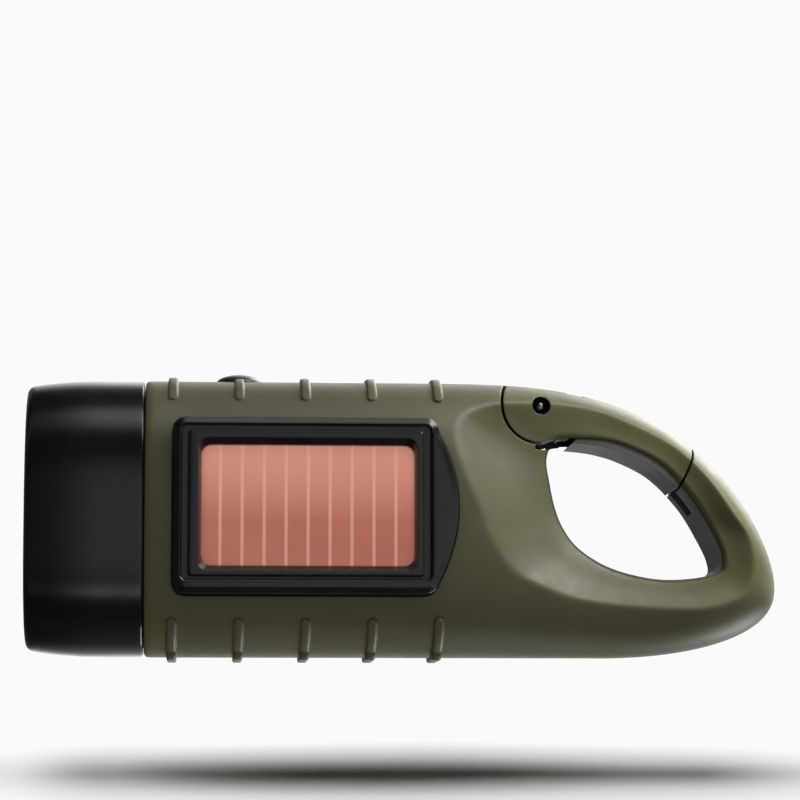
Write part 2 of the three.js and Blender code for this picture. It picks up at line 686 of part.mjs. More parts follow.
function screwHoles() {
  return join(...caseScrewPlaces.map((place) => join(
    barY(place, CASE_SCREW_HEAD_RADIUS + CLEARANCE, caseScrewSeatY, CUT_OVERRUN),
    barY(place, CASE_SCREW_RADIUS + CLEARANCE,
      caseScrewSeatY - CASE_SCREW_LENGTH - CLEARANCE, CUT_OVERRUN),
  )));
}

// Bosses for the case screws, cut to the barrel's form
function caseBosses() {
  const bosses = caseScrewPlaces.map((p) => barY(p, CASE_BOSS_RADIUS, -HALF_DEPTH, HALF_DEPTH));
  return join(...bosses).intersect(outerBody);
}

// A post's place: along as a share of the room behind the crank, rise of the height
const postPlace = ({ along, rise }) => (
  { x: CRANK_X + along * (CAVITY_END_X - CRANK_X), z: rise * HALF_HEIGHT }
);

// What both halves share: the form, the loop, the neck and the hinge knuckle
function shellHalf(half, cavity) {
  const bored = cut(join(loopBody, ribs(), neck()), cavity, neckBore());
  const bossed = join(bored, cut(caseBosses(), flare));
  const buttonHole = barZ(BUTTON_X, 0, BUTTON_RADIUS + CLEARANCE, 0, CUT_OVERRUN, ROUND_SIDES);
  const opened = cut(bossed, gateRoom, linerGroove, buttonHole, latchNotch(), screwHoles());
  return join(opened, knuckle()).intersect(half);
}

function batteryCradle() {
  const inner = BATTERY_RADIUS + CLEARANCE;
  const outer = inner + CRADLE_WALL;
  const [x0, x1] = [BATTERY_X - outer, BATTERY_X + outer];
  const z0 = batteryZ - outer;
  const block = box(x0, x1, panelFloorY - WALL / 2, CRADLE_BACK_Y, z0, batteryZ);
  return cut(block, box(BATTERY_X - inner, BATTERY_X + inner, panelFloorY, CUT_OVERRUN,
    batteryZ - inner, CUT_OVERRUN)).intersect(frontHalf);
}

// Two shelves that carry the control board
function boardShelves() {
  const top = circuitTopZ - CIRCUIT_THICKNESS - CLEARANCE;
  return join(...[-1, 1].map((side) => {
    const x = BUTTON_X + side * (CIRCUIT_HALF_LENGTH - SHELF_WIDTH);
    return box(x - SHELF_WIDTH / 2, x + SHELF_WIDTH / 2, panelFloorY - WALL / 2, SHELF_BACK_Y,
      top - SHELF_THICKNESS, top);
  }));
}

function frontShell() {
  const shell = shellHalf(frontHalf, cavityBlock());
  const pocket = plate(bezelOutline(-CLEARANCE), -CUT_OVERRUN, bezelSeatY, 0, BOW_STEPS);
  const wireHole = barY(crankAxis, WIRE_HOLE_RADIUS, -HALF_DEPTH, 0);
  return cut(join(shell, batteryCradle(), boardShelves()), pocket, wireHole);
}

function backShell() {
  const shell = shellHalf(backHalf, cavityBlock());
  const posts = plateScrewShares.map((place) => cut(
    barY(postPlace(place), POST_RADIUS, plateTopY + CLEARANCE, crankFacetY),
    barY(postPlace(place), PLATE_SCREW_RADIUS + CLEARANCE, plateY, plateTopY + PLATE_SCREW_LENGTH),
  ).intersect(outerBody).intersect(backHalf));
  const axleSeats = [firstAxis, secondAxis].map((place) => (
    barY(place, AXLE_RADIUS + CLEARANCE, 0, crankWallY + AXLE_SEAT + CLEARANCE)
  ));
  const bushHole = barY(crankAxis, bushRadius() + CLEARANCE, 0, CUT_OVERRUN, ROUND_SIDES);
  return cut(join(shell, ...posts), bushHole, ...axleSeats);
}

// Loop liner, gate and latch

function latchNotch() {
  const mouth = jointMouth();
  return pinSector(GATE_JOINT_RADIUS - TONGUE_ROOT, GATE_JOINT_RADIUS + TONGUE_REACH + CLEARANCE,
    mouth + TONGUE_HIGH_TURN + NOTCH_MARGIN_TURN, mouth + NOTCH_LOW_TURN, TONGUE_HALF_WIDTH + CLEARANCE);
}

function loopLiner() {
  const band = loopBand(0, LINER_THICKNESS, LOOP_EDGE_HALF_DEPTH - LINER_LIP);
  return cut(band, gateRoom, latchNotch());
}

// Latch tongue of the gate's liner; the slot for its root is a little larger
function tongue(gap, turnGap) {
  const mouth = jointMouth();
  return pinSector(GATE_JOINT_RADIUS - TONGUE_ROOT - gap, GATE_JOINT_RADIUS + TONGUE_REACH,
    mouth + TONGUE_HIGH_TURN + turnGap, mouth + TONGUE_LOW_TURN, TONGUE_HALF_WIDTH + gap);
}

function gateLiner() {
  const band = loopBand(GATE_LINER_STEP, LINER_THICKNESS, LOOP_EDGE_HALF_DEPTH - LINER_LIP);
  const fork = barY(gatePin, FORK_RADIUS + CLEARANCE, -CUT_OVERRUN, CUT_OVERRUN, ROUND_SIDES);
  const strip = cut(band.intersect(gateBody), fork);
  return join(strip, tongue(0, 0));
}

function gate() {
  const fork = barY(gatePin, FORK_RADIUS, -FORK_HALF_GAP, FORK_HALF_GAP, ROUND_SIDES);
  const hole = barY(gatePin, PIN_RADIUS + CLEARANCE, -CUT_OVERRUN, CUT_OVERRUN);
  const keep = barY(gatePin, (FORK_RADIUS + GATE_DISC_RADIUS) / 2, -CUT_OVERRUN, CUT_OVERRUN, ROUND_SIDES);
  return cut(loopBody.intersect(gateBody), fork, hole, cut(linerGroove, keep),
    tongue(CLEARANCE, NOTCH_MARGIN_TURN));
}

// Torsion spring: a coil round the pin, one short leg and one long leg
function gateSpring() {
  const turn = 2 * Math.PI;
  const half = SPRING_PITCH * SPRING_TURNS / 2;
  const coil = Array.from({ length: SPRING_TURN_STEPS * SPRING_TURNS + 1 }, (_, i) => {
    const angle = -(i / SPRING_TURN_STEPS) * turn - turn / 4;
    const y = -half + (i / SPRING_TURN_STEPS) * SPRING_PITCH;
    return new THREE.Vector3(gatePin.x + SPRING_MEAN_RADIUS * Math.cos(angle), y,
      gatePin.z + SPRING_MEAN_RADIUS * Math.sin(angle));
  });
  const start = coil[0].clone().add(new THREE.Vector3(SPRING_SHORT_LEG, 0, 0));
  const end = coil.at(-1).clone().add(new THREE.Vector3(SPRING_LEG, 0, 0));
  return wire([start, ...coil, end], SPRING_WIRE_RADIUS);
}

// A round wire through points
function wire(points, radius) {
  const rings = points.map((p, i) => {
    const before = points[Math.max(i - 1, 0)];
    const after = points[Math.min(i + 1, points.length - 1)];
    const along = after.clone().sub(before).normalize();
    const side = new THREE.Vector3(0, 1, 0).cross(along).normalize();
    const up = along.clone().cross(side);
    return Array.from({ length: WIRE_SIDES }, (_, k) => {
      const angle = (k / WIRE_SIDES) * 2 * Math.PI;
      return p.clone().addScaledVector(side, radius * Math.cos(angle))
        .addScaledVector(up, radius * Math.sin(angle));
    });
  });
  return loft(rings);
}

function gatePinBar() {
  const half = skinDepth(gatePin.x, gatePin.z) - PIN_INSET;
  const round = PIN_RADIUS / 2;
  return turnedY(gatePin, [
    [0, -half], [PIN_RADIUS - round, -half], [PIN_RADIUS, round - half],
    [PIN_RADIUS, half - round], [PIN_RADIUS - round, half], [0, half],
  ], SMALL_SIDES);
}

// Lamp head

// Height and depth of the head at a share of its growth
function headSection(x, inset) {
  const share = shareOf(x, HEAD_FRONT_X, HEAD_GROW_END_X);
  const ease = 1 - (1 - share) ** 2;
  const high = HALF_HEIGHT - HEAD_TAPER_HEIGHT * (1 - ease) - inset;
  const deep = HALF_DEPTH - HEAD_TAPER_DEPTH * (1 - ease) - inset;
  return section(x, deep, high, -high);
}

function headStations(from, inset) {
  const span = HEAD_GROW_END_X - HEAD_FRONT_X;
  const xs = [from, ...[1 / 4, 1 / 2, 3 / 4, 1].map((share) => HEAD_FRONT_X + share * span)];
  return [...xs, BODY_FRONT_X - CLEARANCE].map((x) => headSection(x, inset));
}

const lensSeatX = HEAD_FRONT_X + HEAD_LIP;
const lensInset = HEAD_WALL + CLEARANCE;

function headCap() {
  const outer = loft([
    headSection(HEAD_FRONT_X, HEAD_EDGE),
    headSection(HEAD_FRONT_X + HEAD_EDGE / 4, HEAD_EDGE / 3),
    ...headStations(HEAD_FRONT_X + HEAD_EDGE, 0),
  ]);
  const bore = loft([
    ...headStations(lensSeatX, HEAD_WALL).slice(0, -1),
    headSection(BODY_FRONT_X + BULKHEAD, HEAD_WALL),
  ]);
  const lip = HEAD_WALL + HEAD_LIP_OVERHANG;
  const mouth = tube(HEAD_FRONT_X - HEAD_EDGE, lensSeatX + HEAD_EDGE,
    HALF_DEPTH - HEAD_TAPER_DEPTH - lip, HALF_HEIGHT - HEAD_TAPER_HEIGHT - lip);
  return cut(outer, bore, mouth);
}

// A flat sheet across the head, clear of its walls
function headSheet(x0, thickness, inset = lensInset) {
  return loft([headSection(x0, inset), headSection(x0 + thickness, inset)]);
}

const lensX = lensSeatX + CLEARANCE;
const flangeX = lensX + LENS_THICKNESS + CLEARANCE;
const ledBoardX = BODY_FRONT_X - NECK_LENGTH - CLEARANCE - BOARD_THICKNESS;
const cupEndX = ledBoardX - CLEARANCE;
const cupSpacing = CUP_SPACING_SHARE * HALF_HEIGHT;
const cupFrontRadius = CUP_FRONT_SHARE * HALF_HEIGHT;
const cupZs = { led_top: cupSpacing, led_middle: 0, led_bottom: -cupSpacing };

// A turned piece about an axis along X
function turnedX(z, profile, sides) {
  const points = profile.map(([radius, x]) => new THREE.Vector2(radius, x));
  const geometry = new THREE.LatheGeometry(points, sides).rotateZ(-Math.PI / 2);
  return solid(geometry.translate(0, 0, z));
}

// Dish curve from the wide front rim back to the lamp hole
function cupProfile(grow, from, to) {
  const steps = CORNER_STEPS;
  return Array.from({ length: steps + 1 }, (_, i) => {
    const share = i / steps;
    const radius = THREE.MathUtils.lerp(CUP_BACK_RADIUS, cupFrontRadius, Math.sqrt(1 - share));
    return [radius + grow, THREE.MathUtils.lerp(from, to, share)];
  });
}

function reflector() {
  const flange = headSheet(flangeX, REFLECTOR_FLANGE);
  const cups = Object.values(cupZs).map((z) => turnedX(z, [
    [0, flangeX], ...cupProfile(CUP_WALL, flangeX, cupEndX), [0, cupEndX],
  ], SMALL_SIDES));
  const dishes = Object.values(cupZs).map((z) => turnedX(z, [
    [0, flangeX - CUP_WALL], [cupFrontRadius, flangeX - CUP_WALL],
    ...cupProfile(0, flangeX, cupEndX), [CUP_BACK_RADIUS, cupEndX + CUP_WALL], [0, cupEndX + CUP_WALL],
  ], SMALL_SIDES));
  return cut(join(flange, ...cups), ...dishes);
}

// A lamp with a flange at its foot and a round nose
function lamp(z) {
  const foot = cupEndX;
  const nose = foot - LED_FLANGE - LED_STRAIGHT;
  const dome = [1 / 3, 2 / 3].map((share) => [
    LED_RADIUS * Math.cos(share * Math.PI / 2), nose - LED_RADIUS * Math.sin(share * Math.PI / 2),
  ]);
  return turnedX(z, [
    [0, foot], [LED_FLANGE_RADIUS, foot], [LED_FLANGE_RADIUS, foot - LED_FLANGE],
    [LED_RADIUS, foot - LED_FLANGE], [LED_RADIUS, nose], ...dome, [0, nose - LED_RADIUS],
  ], SMALL_SIDES);
}

const ledBoard = () => headSheet(ledBoardX, BOARD_THICKNESS, lensInset + LED_BOARD_EDGE);

// Solar panel

const bezelFaceY = -HALF_DEPTH - BEZEL_PROUD;
const bezelSeatY = BEZEL_SEAT_INSET - HALF_DEPTH;
const bezelCentreZ = BEZEL_RAISE_SHARE * HALF_HEIGHT;
const bezelTop = bezelCentreZ + BEZEL_HEIGHT_SHARE * HALF_HEIGHT;
const bezelBottom = bezelCentreZ - BEZEL_HEIGHT_SHARE * HALF_HEIGHT;

// Outline with round left corners and a bowed right side
function bezelOutline(inset) {
  const [left, right] = [BEZEL_LEFT_X + inset, BEZEL_CORNER_X - inset / 2];
  const [top, bottom] = [bezelTop - inset, bezelBottom + inset];
  const r = BEZEL_CORNER - inset;
  const bow = right + 2 * BEZEL_BULGE - inset / 2;
  const shape = new THREE.Shape();
  shape.moveTo(left + r, bottom);
  shape.lineTo(right - r, bottom);
  shape.quadraticCurveTo(right, bottom, right + r / 4, bottom + r);
  shape.quadraticCurveTo(bow, bezelCentreZ, right + r / 4, top - r);
  shape.quadraticCurveTo(right, top, right - r, top);
  shape.lineTo(left + r, top);
  shape.quadraticCurveTo(left, top, left, top - r);
  shape.lineTo(left, bottom + r);
  shape.quadraticCurveTo(left, bottom, left + r, bottom);
  return shape;
}

const frameEdges = {
  left: BEZEL_LEFT_X + FRAME_LEFT,
  right: BEZEL_CORNER_X - FRAME_RIGHT,
  top: bezelTop - FRAME_TOP,
  bottom: bezelBottom + FRAME_BOTTOM,
};
const windowEdges = {
  left: frameEdges.left + WINDOW_LEFT,
  right: frameEdges.right - WINDOW_RIGHT,
  top: frameEdges.top - WINDOW_TOP,
  bottom: frameEdges.bottom + WINDOW_BOTTOM,
};

// A rectangle grown by a margin, with round corners if asked
function frameOutline(edges, grow, corner = 0) {
  const [x0, x1] = [edges.left - grow, edges.right + grow];
  const [z0, z1] = [edges.bottom - grow, edges.top + grow];
  if (corner === 0) return polygon([[x0, z0], [x1, z0], [x1, z1], [x0, z1]]);
  const shape = new THREE.Shape();
  shape.moveTo(x0 + corner, z0);
  shape.lineTo(x1 - corner, z0);
  shape.quadraticCurveTo(x1, z0, x1, z0 + corner);
  shape.lineTo(x1, z1 - corner);
  shape.quadraticCurveTo(x1, z1, x1 - corner, z1);
  shape.lineTo(x0 + corner, z1);
  shape.quadraticCurveTo(x0, z1, x0, z1 - corner);
  shape.lineTo(x0, z0 + corner);
  shape.quadraticCurveTo(x0, z0, x0 + corner, z0);
  return shape;
}

const cellFrontY = bezelFaceY + WINDOW_DEPTH + CLEARANCE;

function solarBezel() {
  const back = bezelSeatY - CLEARANCE;
  const body = plate(bezelOutline(0), bezelFaceY, back, 0, BOW_STEPS);
  const lip = cut(
    plate(bezelOutline(BEZEL_RIM), -CUT_OVERRUN, bezelFaceY + BEZEL_LIP_DROP, 0, BOW_STEPS),
    plate(frameOutline(frameEdges, 0), -CUT_OVERRUN, 0),
  );
  const groove = cut(
    plate(frameOutline(frameEdges, GROOVE_WIDTH), -CUT_OVERRUN, bezelFaceY + GROOVE_DROP),
    plate(frameOutline(frameEdges, 0), -CUT_OVERRUN, 0),
  );
  const window = plate(frameOutline(windowEdges, 0, WINDOW_CORNER), -CUT_OVERRUN, 0);
  const pocket = plate(frameOutline(windowEdges, CELL_MARGIN + CLEARANCE), bezelFaceY + WINDOW_DEPTH, 0);
  return cut(body, lip, groove, window, pocket);
}

const solarCell = () => plate(frameOutline(windowEdges, CELL_MARGIN),
  cellFrontY, cellFrontY + CELL_THICKNESS);
const panelPad = () => plate(frameOutline(windowEdges, 0),
  cellFrontY + CELL_THICKNESS + CLEARANCE, bezelSeatY - CLEARANCE);

// Button, switch and boards

const shoulderZ = HALF_HEIGHT - BUTTON_SHOULDER_INSET;
const flangeTopZ = HALF_HEIGHT - BUTTON_FLANGE_INSET;
const stemFootZ = flangeTopZ - BUTTON_FLANGE - BUTTON_STEM;
const circuitTopZ = HALF_HEIGHT - CIRCUIT_INSET;

// A turned piece about an axis along Z
function turnedZ(x, profile, sides = ROUND_SIDES) {
  const points = profile.map(([radius, z]) => new THREE.Vector2(radius, z));
  return solid(new THREE.LatheGeometry(points, sides).rotateX(Math.PI / 2).translate(x, 0, 0));
}

function powerButton() {
  const dome = [0, 1 / 4, 1 / 2, 3 / 4].map((share) => [
    BUTTON_RADIUS * Math.cos(share * Math.PI / 2),
    shoulderZ + BUTTON_RISE * Math.sin(share * Math.PI / 2),
  ]);
  const flangeFoot = flangeTopZ - BUTTON_FLANGE;
  return turnedZ(BUTTON_X, [
    [0, stemFootZ], [BUTTON_STEM_RADIUS, stemFootZ], [BUTTON_STEM_RADIUS, flangeFoot],
    [BUTTON_FLANGE_RADIUS, flangeFoot], [BUTTON_FLANGE_RADIUS, flangeTopZ],
    [BUTTON_RADIUS, flangeTopZ], ...dome, [0, shoulderZ + BUTTON_RISE],
  ]);
}

const plungerTopZ = stemFootZ - CLEARANCE;
const switchPlunger = () => barZ(BUTTON_X, 0, PLUNGER_RADIUS, plungerTopZ - PLUNGER_LENGTH, plungerTopZ);

function switchBody() {
  const foot = circuitTopZ + CLEARANCE;
  const block = box(BUTTON_X - SWITCH_HALF, BUTTON_X + SWITCH_HALF, -SWITCH_HALF, SWITCH_HALF,
    foot, foot + SWITCH_HEIGHT);
  return cut(block, barZ(BUTTON_X, 0, PLUNGER_RADIUS + CLEARANCE, foot + SWITCH_FLOOR, CUT_OVERRUN));
}

const controlBoard = () => box(BUTTON_X - CIRCUIT_HALF_LENGTH, BUTTON_X + CIRCUIT_HALF_LENGTH,
  panelFloorY + CIRCUIT_FRONT_GAP, crankWallY - CIRCUIT_BACK_GAP,
  circuitTopZ - CIRCUIT_THICKNESS, circuitTopZ);

const batteryZ = -BATTERY_DROP_SHARE * HALF_HEIGHT;
const batteryPack = () => turnedY({ x: BATTERY_X, z: batteryZ }, [
  [0, -BATTERY_HALF_LENGTH], [BATTERY_RADIUS - BATTERY_CHAMFER, -BATTERY_HALF_LENGTH],
  [BATTERY_RADIUS, -BATTERY_HALF_LENGTH + BATTERY_CHAMFER],
  [BATTERY_RADIUS, BATTERY_HALF_LENGTH - BATTERY_CHAMFER],
  [BATTERY_RADIUS - BATTERY_CHAMFER, BATTERY_HALF_LENGTH], [0, BATTERY_HALF_LENGTH],
]);

// Gears and generator

const involute = (angle) => Math.tan(angle) - angle;

// A toothed outline; small gears get one more point on each flank
function gearShape(place, teeth, module, phase) {
  const pitch = module * teeth / 2;
  const base = pitch * Math.cos(PRESSURE_DEG * RAD);
  const tip = pitch + module * ADDENDUM_SHARE;
  const root = pitch - module * DEDENDUM_SHARE;
  const half = (Math.PI / (2 * teeth)) * TOOTH_WIDTH_SHARE;
  const spread = (radius) => {
    const angle = Math.acos(Math.min(base / radius, 1));
    return half + involute(PRESSURE_DEG * RAD) - involute(angle);
  };
  const flank = teeth > 20 ? [root, pitch, tip] : [root, Math.max(base, root), pitch, tip];
  const points = [];
  for (let i = 0; i < teeth; i += 1) {
    const centre = phase + (i / teeth) * 2 * Math.PI;
    flank.forEach((radius) => points.push([radius, centre - spread(radius)]));
    [...flank].reverse().forEach((radius) => points.push([radius, centre + spread(radius)]));
  }
  return polygon(points.map(([radius, angle]) => [
    place.x + radius * Math.cos(angle), place.z + radius * Math.sin(angle),
  ]));
}

const gearDisc = (place, teeth, module, phase, y, width) => (
  plate(gearShape(place, teeth, module, phase), y, y + width)
);

const crankPhase = 0;
const firstPhase = meshPhase(crankPhase, CRANK_TEETH, FIRST_PINION_TEETH, FIRST_MESH_DEG);
const secondPhase = meshPhase(firstPhase, FIRST_WHEEL_TEETH, SECOND_PINION_TEETH, SECOND_MESH_DEG);
const rotorPhase = meshPhase(secondPhase, SECOND_WHEEL_TEETH, ROTOR_PINION_TEETH, THIRD_MESH_DEG);
const shaftTopY = crankFacetY + ARM_GAP / 2;
const socketTopY = armBackY + SOCKET_DEPTH;

function crankGear() {
  const wheel = gearDisc(crankAxis, CRANK_TEETH, crankModule, crankPhase, crankGearY, crankGearWidth);
  const stub = barY(crankAxis, CRANK_STUB_RADIUS, plateY + CLEARANCE, crankGearY + crankGearWidth / 2);
  const shaft = barY(crankAxis, CRANK_SHAFT_RADIUS,
    crankGearY + crankGearWidth / 2, shaftTopY, ROUND_SIDES);
  const square = box(CRANK_X - SOCKET_HALF, CRANK_X + SOCKET_HALF, crankGearY, socketTopY - CLEARANCE,
    -SOCKET_HALF, SOCKET_HALF);
  const bore = barY(crankAxis, CRANK_SCREW_RADIUS + CLEARANCE, crankScrewFootY - CLEARANCE, CUT_OVERRUN);
  return cut(join(wheel, stub, shaft, square), bore);
}

function gearPair(place, wheel, pinion, phase) {
  const middleY = wheel.y + wheel.width / 2;
  const hubRadius = GEAR_HUB_SHARE * generatorRadius + AXLE_RADIUS / 2;
  const hub = barY(place, hubRadius, plateTopY + CLEARANCE, middleY);
  const large = gearDisc(place, wheel.teeth, wheel.module, phase, wheel.y, wheel.width);
  const small = gearDisc(place, pinion.teeth, pinion.module, phase, middleY, pinion.topY - middleY);
  return cut(join(hub, large, small), barY(place, AXLE_RADIUS + CLEARANCE, plateY, CUT_OVERRUN));
}

const axle = (place) => barY(place, AXLE_RADIUS, plateY, crankWallY + AXLE_SEAT);

// Convex outline round a set of circles
function hullShape(circles) {
  const points = circles.flatMap(({ x, z, radius }) => Array.from({ length: SMALL_SIDES }, (_, i) => {
    const angle = (i / SMALL_SIDES) * 2 * Math.PI;
    return [x + radius * Math.cos(angle), z + radius * Math.sin(angle)];
  })).sort((p, q) => p[0] - q[0] || p[1] - q[1]);
  const turns = (o, a, b) => (a[0] - o[0]) * (b[1] - o[1]) - (a[1] - o[1]) * (b[0] - o[0]);
  const chain = (ordered) => {
    const kept = [];
    ordered.forEach((p) => {
      while (kept.length > 1 && turns(kept.at(-2), kept.at(-1), p) <= 0) kept.pop();
      kept.push(p);
    });
    return kept.slice(0, -1);
  };
  return polygon([...chain(points), ...chain([...points].reverse())]);
}

function gearPlate() {
  const posts = plateScrewShares.map(postPlace);
  const rims = [...posts, firstAxis, secondAxis].map((p) => ({ ...p, radius: PLATE_EDGE }));
  const sheet = plate(hullShape([...rims, { ...crankAxis, radius: PLATE_EDGE + CRANK_STUB_RADIUS }]),
    plateY, plateTopY);
  const holes = [
    ...posts.map((p) => barY(p, PLATE_SCREW_RADIUS + CLEARANCE, -CUT_OVERRUN, CUT_OVERRUN)),
    ...[firstAxis, secondAxis].map((p) => barY(p, AXLE_RADIUS + CLEARANCE, -CUT_OVERRUN, CUT_OVERRUN)),
    barY(crankAxis, CRANK_STUB_RADIUS + CLEARANCE, -CUT_OVERRUN, CUT_OVERRUN),
    barY(rotorAxis, ROTOR_SHAFT_RADIUS + CLEARANCE, -CUT_OVERRUN, CUT_OVERRUN),
  ];
  return cut(sheet, ...holes);
}

// A pan-head screw along Y, its head towards the given side
function screw(place, seatY, side, radius, length, headRadius, head) {
  const profile = [
    [0, seatY + side * head], [headRadius - head / 3, seatY + side * head],
    [headRadius, seatY + side * head / 2], [headRadius, seatY], [radius, seatY],
    [radius, seatY - side * (length - radius)], [radius / 3, seatY - side * length],
    [0, seatY - side * length],
  ];
  return turnedY(place, profile, SCREW_SIDES);
}

const plateScrew = (place) => screw(postPlace(place), plateY - CLEARANCE, -1,
  PLATE_SCREW_RADIUS, PLATE_SCREW_LENGTH, PLATE_SCREW_HEAD_RADIUS, PLATE_SCREW_HEAD);
const caseScrew = (place) => screw(place, caseScrewSeatY + CLEARANCE, 1,
  CASE_SCREW_RADIUS, CASE_SCREW_LENGTH, CASE_SCREW_HEAD_RADIUS, CASE_SCREW_HEAD);

function generatorCase() {
  const inner = generatorRadius - GENERATOR_WALL;
  const bore = ROTOR_SHAFT_RADIUS + CLEARANCE;
  return turnedY(rotorAxis, [
    [bore, caseFloorY], [generatorRadius, caseFloorY], [generatorRadius, caseRimY], [inner, caseRimY],
    [inner, caseFloorY + GENERATOR_WALL], [bore, caseFloorY + GENERATOR_WALL], [bore, caseFloorY],
  ]);
}

function generatorCoil() {
  const outer = generatorRadius - GENERATOR_WALL - CLEARANCE;
  const inner = COIL_INNER_SHARE * generatorRadius;
  const [y0, y1] = [caseFloorY + GENERATOR_WALL + CLEARANCE, caseRimY - COIL_END_GAP];
  const round = CLEARANCE;
  return turnedY(rotorAxis, [
    [inner, y0 + round], [inner + round, y0], [outer - round, y0],
    [outer, y0 + round], [outer, y1 - round], [outer - round, y1], [inner + round, y1],
    [inner, y1 - round], [inner, y0 + round],
  ]);
}

function generatorRotor() {
  const magnetY = caseFloorY + GENERATOR_WALL + CLEARANCE;
  const magnetTopY = magnetY + MAGNET_LENGTH_SHARE * (caseRimY - caseFloorY);
  const magnet = barY(rotorAxis, MAGNET_RADIUS_SHARE * generatorRadius, magnetY, magnetTopY, ROUND_SIDES);
  const pinionY = secondWheelY - PINION_OVERHANG;
  const pinionTopY = secondWheelY + secondWheelWidth + PINION_OVERHANG;
  const shaft = barY(rotorAxis, ROTOR_SHAFT_RADIUS, caseFloorY, pinionTopY);
  const pinion = gearDisc(rotorAxis, ROTOR_PINION_TEETH, secondModule, rotorPhase,
    pinionY, pinionTopY - pinionY);
  return join(magnet, shaft, pinion);
}

// Crank

function bushRadius() {
  return CRANK_SHAFT_RADIUS + BUSH_BORE_GAP + BUSH_WALL;
}

function crankBush() {
  const bore = CRANK_SHAFT_RADIUS + BUSH_BORE_GAP;
  const flangeTop = bushFlangeY + BUSH_FLANGE;
  return turnedY(crankAxis, [
    [bore, bushFlangeY], [BUSH_FLANGE_RADIUS, bushFlangeY],
    [BUSH_FLANGE_RADIUS, flangeTop], [bushRadius(), flangeTop], [bushRadius(), crankFacetY],
    [bore, crankFacetY], [bore, bushFlangeY],
  ]);
}

// Outline of the arm: the hull of a large hub and a smaller end
function armShape() {
  const lean = Math.acos((ARM_HUB_RADIUS - ARM_END_RADIUS) / ARM_LENGTH);
  const shape = new THREE.Shape();
  shape.absarc(CRANK_X, 0, ARM_HUB_RADIUS, lean, 2 * Math.PI - lean, false);
  shape.absarc(CRANK_X + ARM_LENGTH, 0, ARM_END_RADIUS, -lean, lean, false);
  return new THREE.Shape(shape.getPoints(CORNER_STEPS * 3));
}

const knobPinX = CRANK_X + ARM_LENGTH;
const knobY = armBackY + ARM_THICKNESS / 2;
const crankScrewFootY = socketTopY + HUB_WEB + CLEARANCE - CRANK_SCREW_LENGTH;

function crankArm() {
  const slab = plate(armShape(), armBackY, armFaceY, ARM_EDGE);
  const slotHalf = KNOB_WIDTH / 2 + CLEARANCE;
  const slotX = knobPinX - KNOB_LENGTH - CLEARANCE;
  const slot = box(slotX, knobPinX + 2 * ARM_END_RADIUS, armBackY - ARM_GAP, armFaceY + ARM_GAP,
    -slotHalf, slotHalf);
  const pinHole = barZ(knobPinX, knobY, KNOB_PIN_RADIUS + CLEARANCE, -CUT_OVERRUN, CUT_OVERRUN);
  const seat = socketTopY + HUB_WEB;
  const socketHalf = SOCKET_HALF + CLEARANCE;
  const socket = box(CRANK_X - socketHalf, CRANK_X + socketHalf, armBackY - ARM_GAP, socketTopY,
    -socketHalf, socketHalf);
  const headRoom = barY(crankAxis, CRANK_SCREW_HEAD_RADIUS + CLEARANCE, seat, CUT_OVERRUN, ROUND_SIDES);
  const screwRoom = barY(crankAxis, CRANK_SCREW_RADIUS + CLEARANCE, 0, CUT_OVERRUN);
  const thumbRoom = barY({ x: slotX, z: 0 }, slotHalf, armBackY + ARM_THICKNESS / 2, CUT_OVERRUN);
  return cut(slab, slot, pinHole, socket, headRoom, screwRoom, thumbRoom);
}

function crankKnob() {
  const half = KNOB_WIDTH / 2;
  const round = ARM_THICKNESS / 2;
  const shape = new THREE.Shape();
  shape.moveTo(knobPinX - KNOB_LENGTH, knobY - round + KNOB_EDGE);
  shape.lineTo(knobPinX - KNOB_LENGTH + KNOB_EDGE, knobY - round);
  shape.absarc(knobPinX, knobY, round, -Math.PI / 2, Math.PI / 2, false);
  shape.lineTo(knobPinX - KNOB_LENGTH + KNOB_EDGE, knobY + round);
  shape.lineTo(knobPinX - KNOB_LENGTH, knobY + round - KNOB_EDGE);
  const geometry = new THREE.ExtrudeGeometry(shape, {
    depth: KNOB_WIDTH - 2 * KNOB_EDGE,
    bevelEnabled: true,
    bevelSize: KNOB_EDGE,
    bevelThickness: KNOB_EDGE,
    bevelOffset: -KNOB_EDGE,
    bevelSegments: 1,
    curveSegments: 2 * CORNER_STEPS,
  });
  const body = solid(geometry.translate(0, 0, -half + KNOB_EDGE));
  return cut(body, barZ(knobPinX, knobY, KNOB_PIN_RADIUS + CLEARANCE, -CUT_OVERRUN, CUT_OVERRUN));
}

function knobPinBar() {
  const half = ARM_END_RADIUS - KNOB_PIN_INSET;
  return barZ(knobPinX, knobY, KNOB_PIN_RADIUS, -half, half);
}

const crankScrew = () => screw(crankAxis, socketTopY + HUB_WEB + CLEARANCE, 1,
  CRANK_SCREW_RADIUS, CRANK_SCREW_LENGTH, CRANK_SCREW_HEAD_RADIUS, CRANK_SCREW_HEAD);

// Materials
const finish = (color, roughness, metalness) => (
  () => new THREE.MeshStandardMaterial({ color, roughness, metalness })
);
const oliveShell = finish(0x565840, 0.5, 0);
const blackPlastic = finish(0x17171a, 0.4, 0);
const greyLiner = finish(0x3d3c3b, 0.55, 0);
const clearPlastic = finish(0xdfe6ea, 0.1, 0);
const mirrorPlastic = finish(0xd8d8d8, 0.12, 1);
const ledResin = finish(0xf0f0e2, 0.2, 0);
const circuitBoard = finish(0x2f6b3c, 0.5, 0);
const solarFilm = finish(0xb8705c, 0.45, 0);
const foam = finish(0x3a3a3a, 0.95, 0);
const rubber = finish(0x101012, 0.7, 0);
const steel = finish(0xb9bbbd, 0.3, 1);
const darkSteel = finish(0x55585c, 0.4, 1);
const batteryWrap = finish(0x2b6f9e, 0.4, 0);
const copper = finish(0xb0643a, 0.35, 1);
const whiteNylon = finish(0xe6e3d8, 0.5, 0);
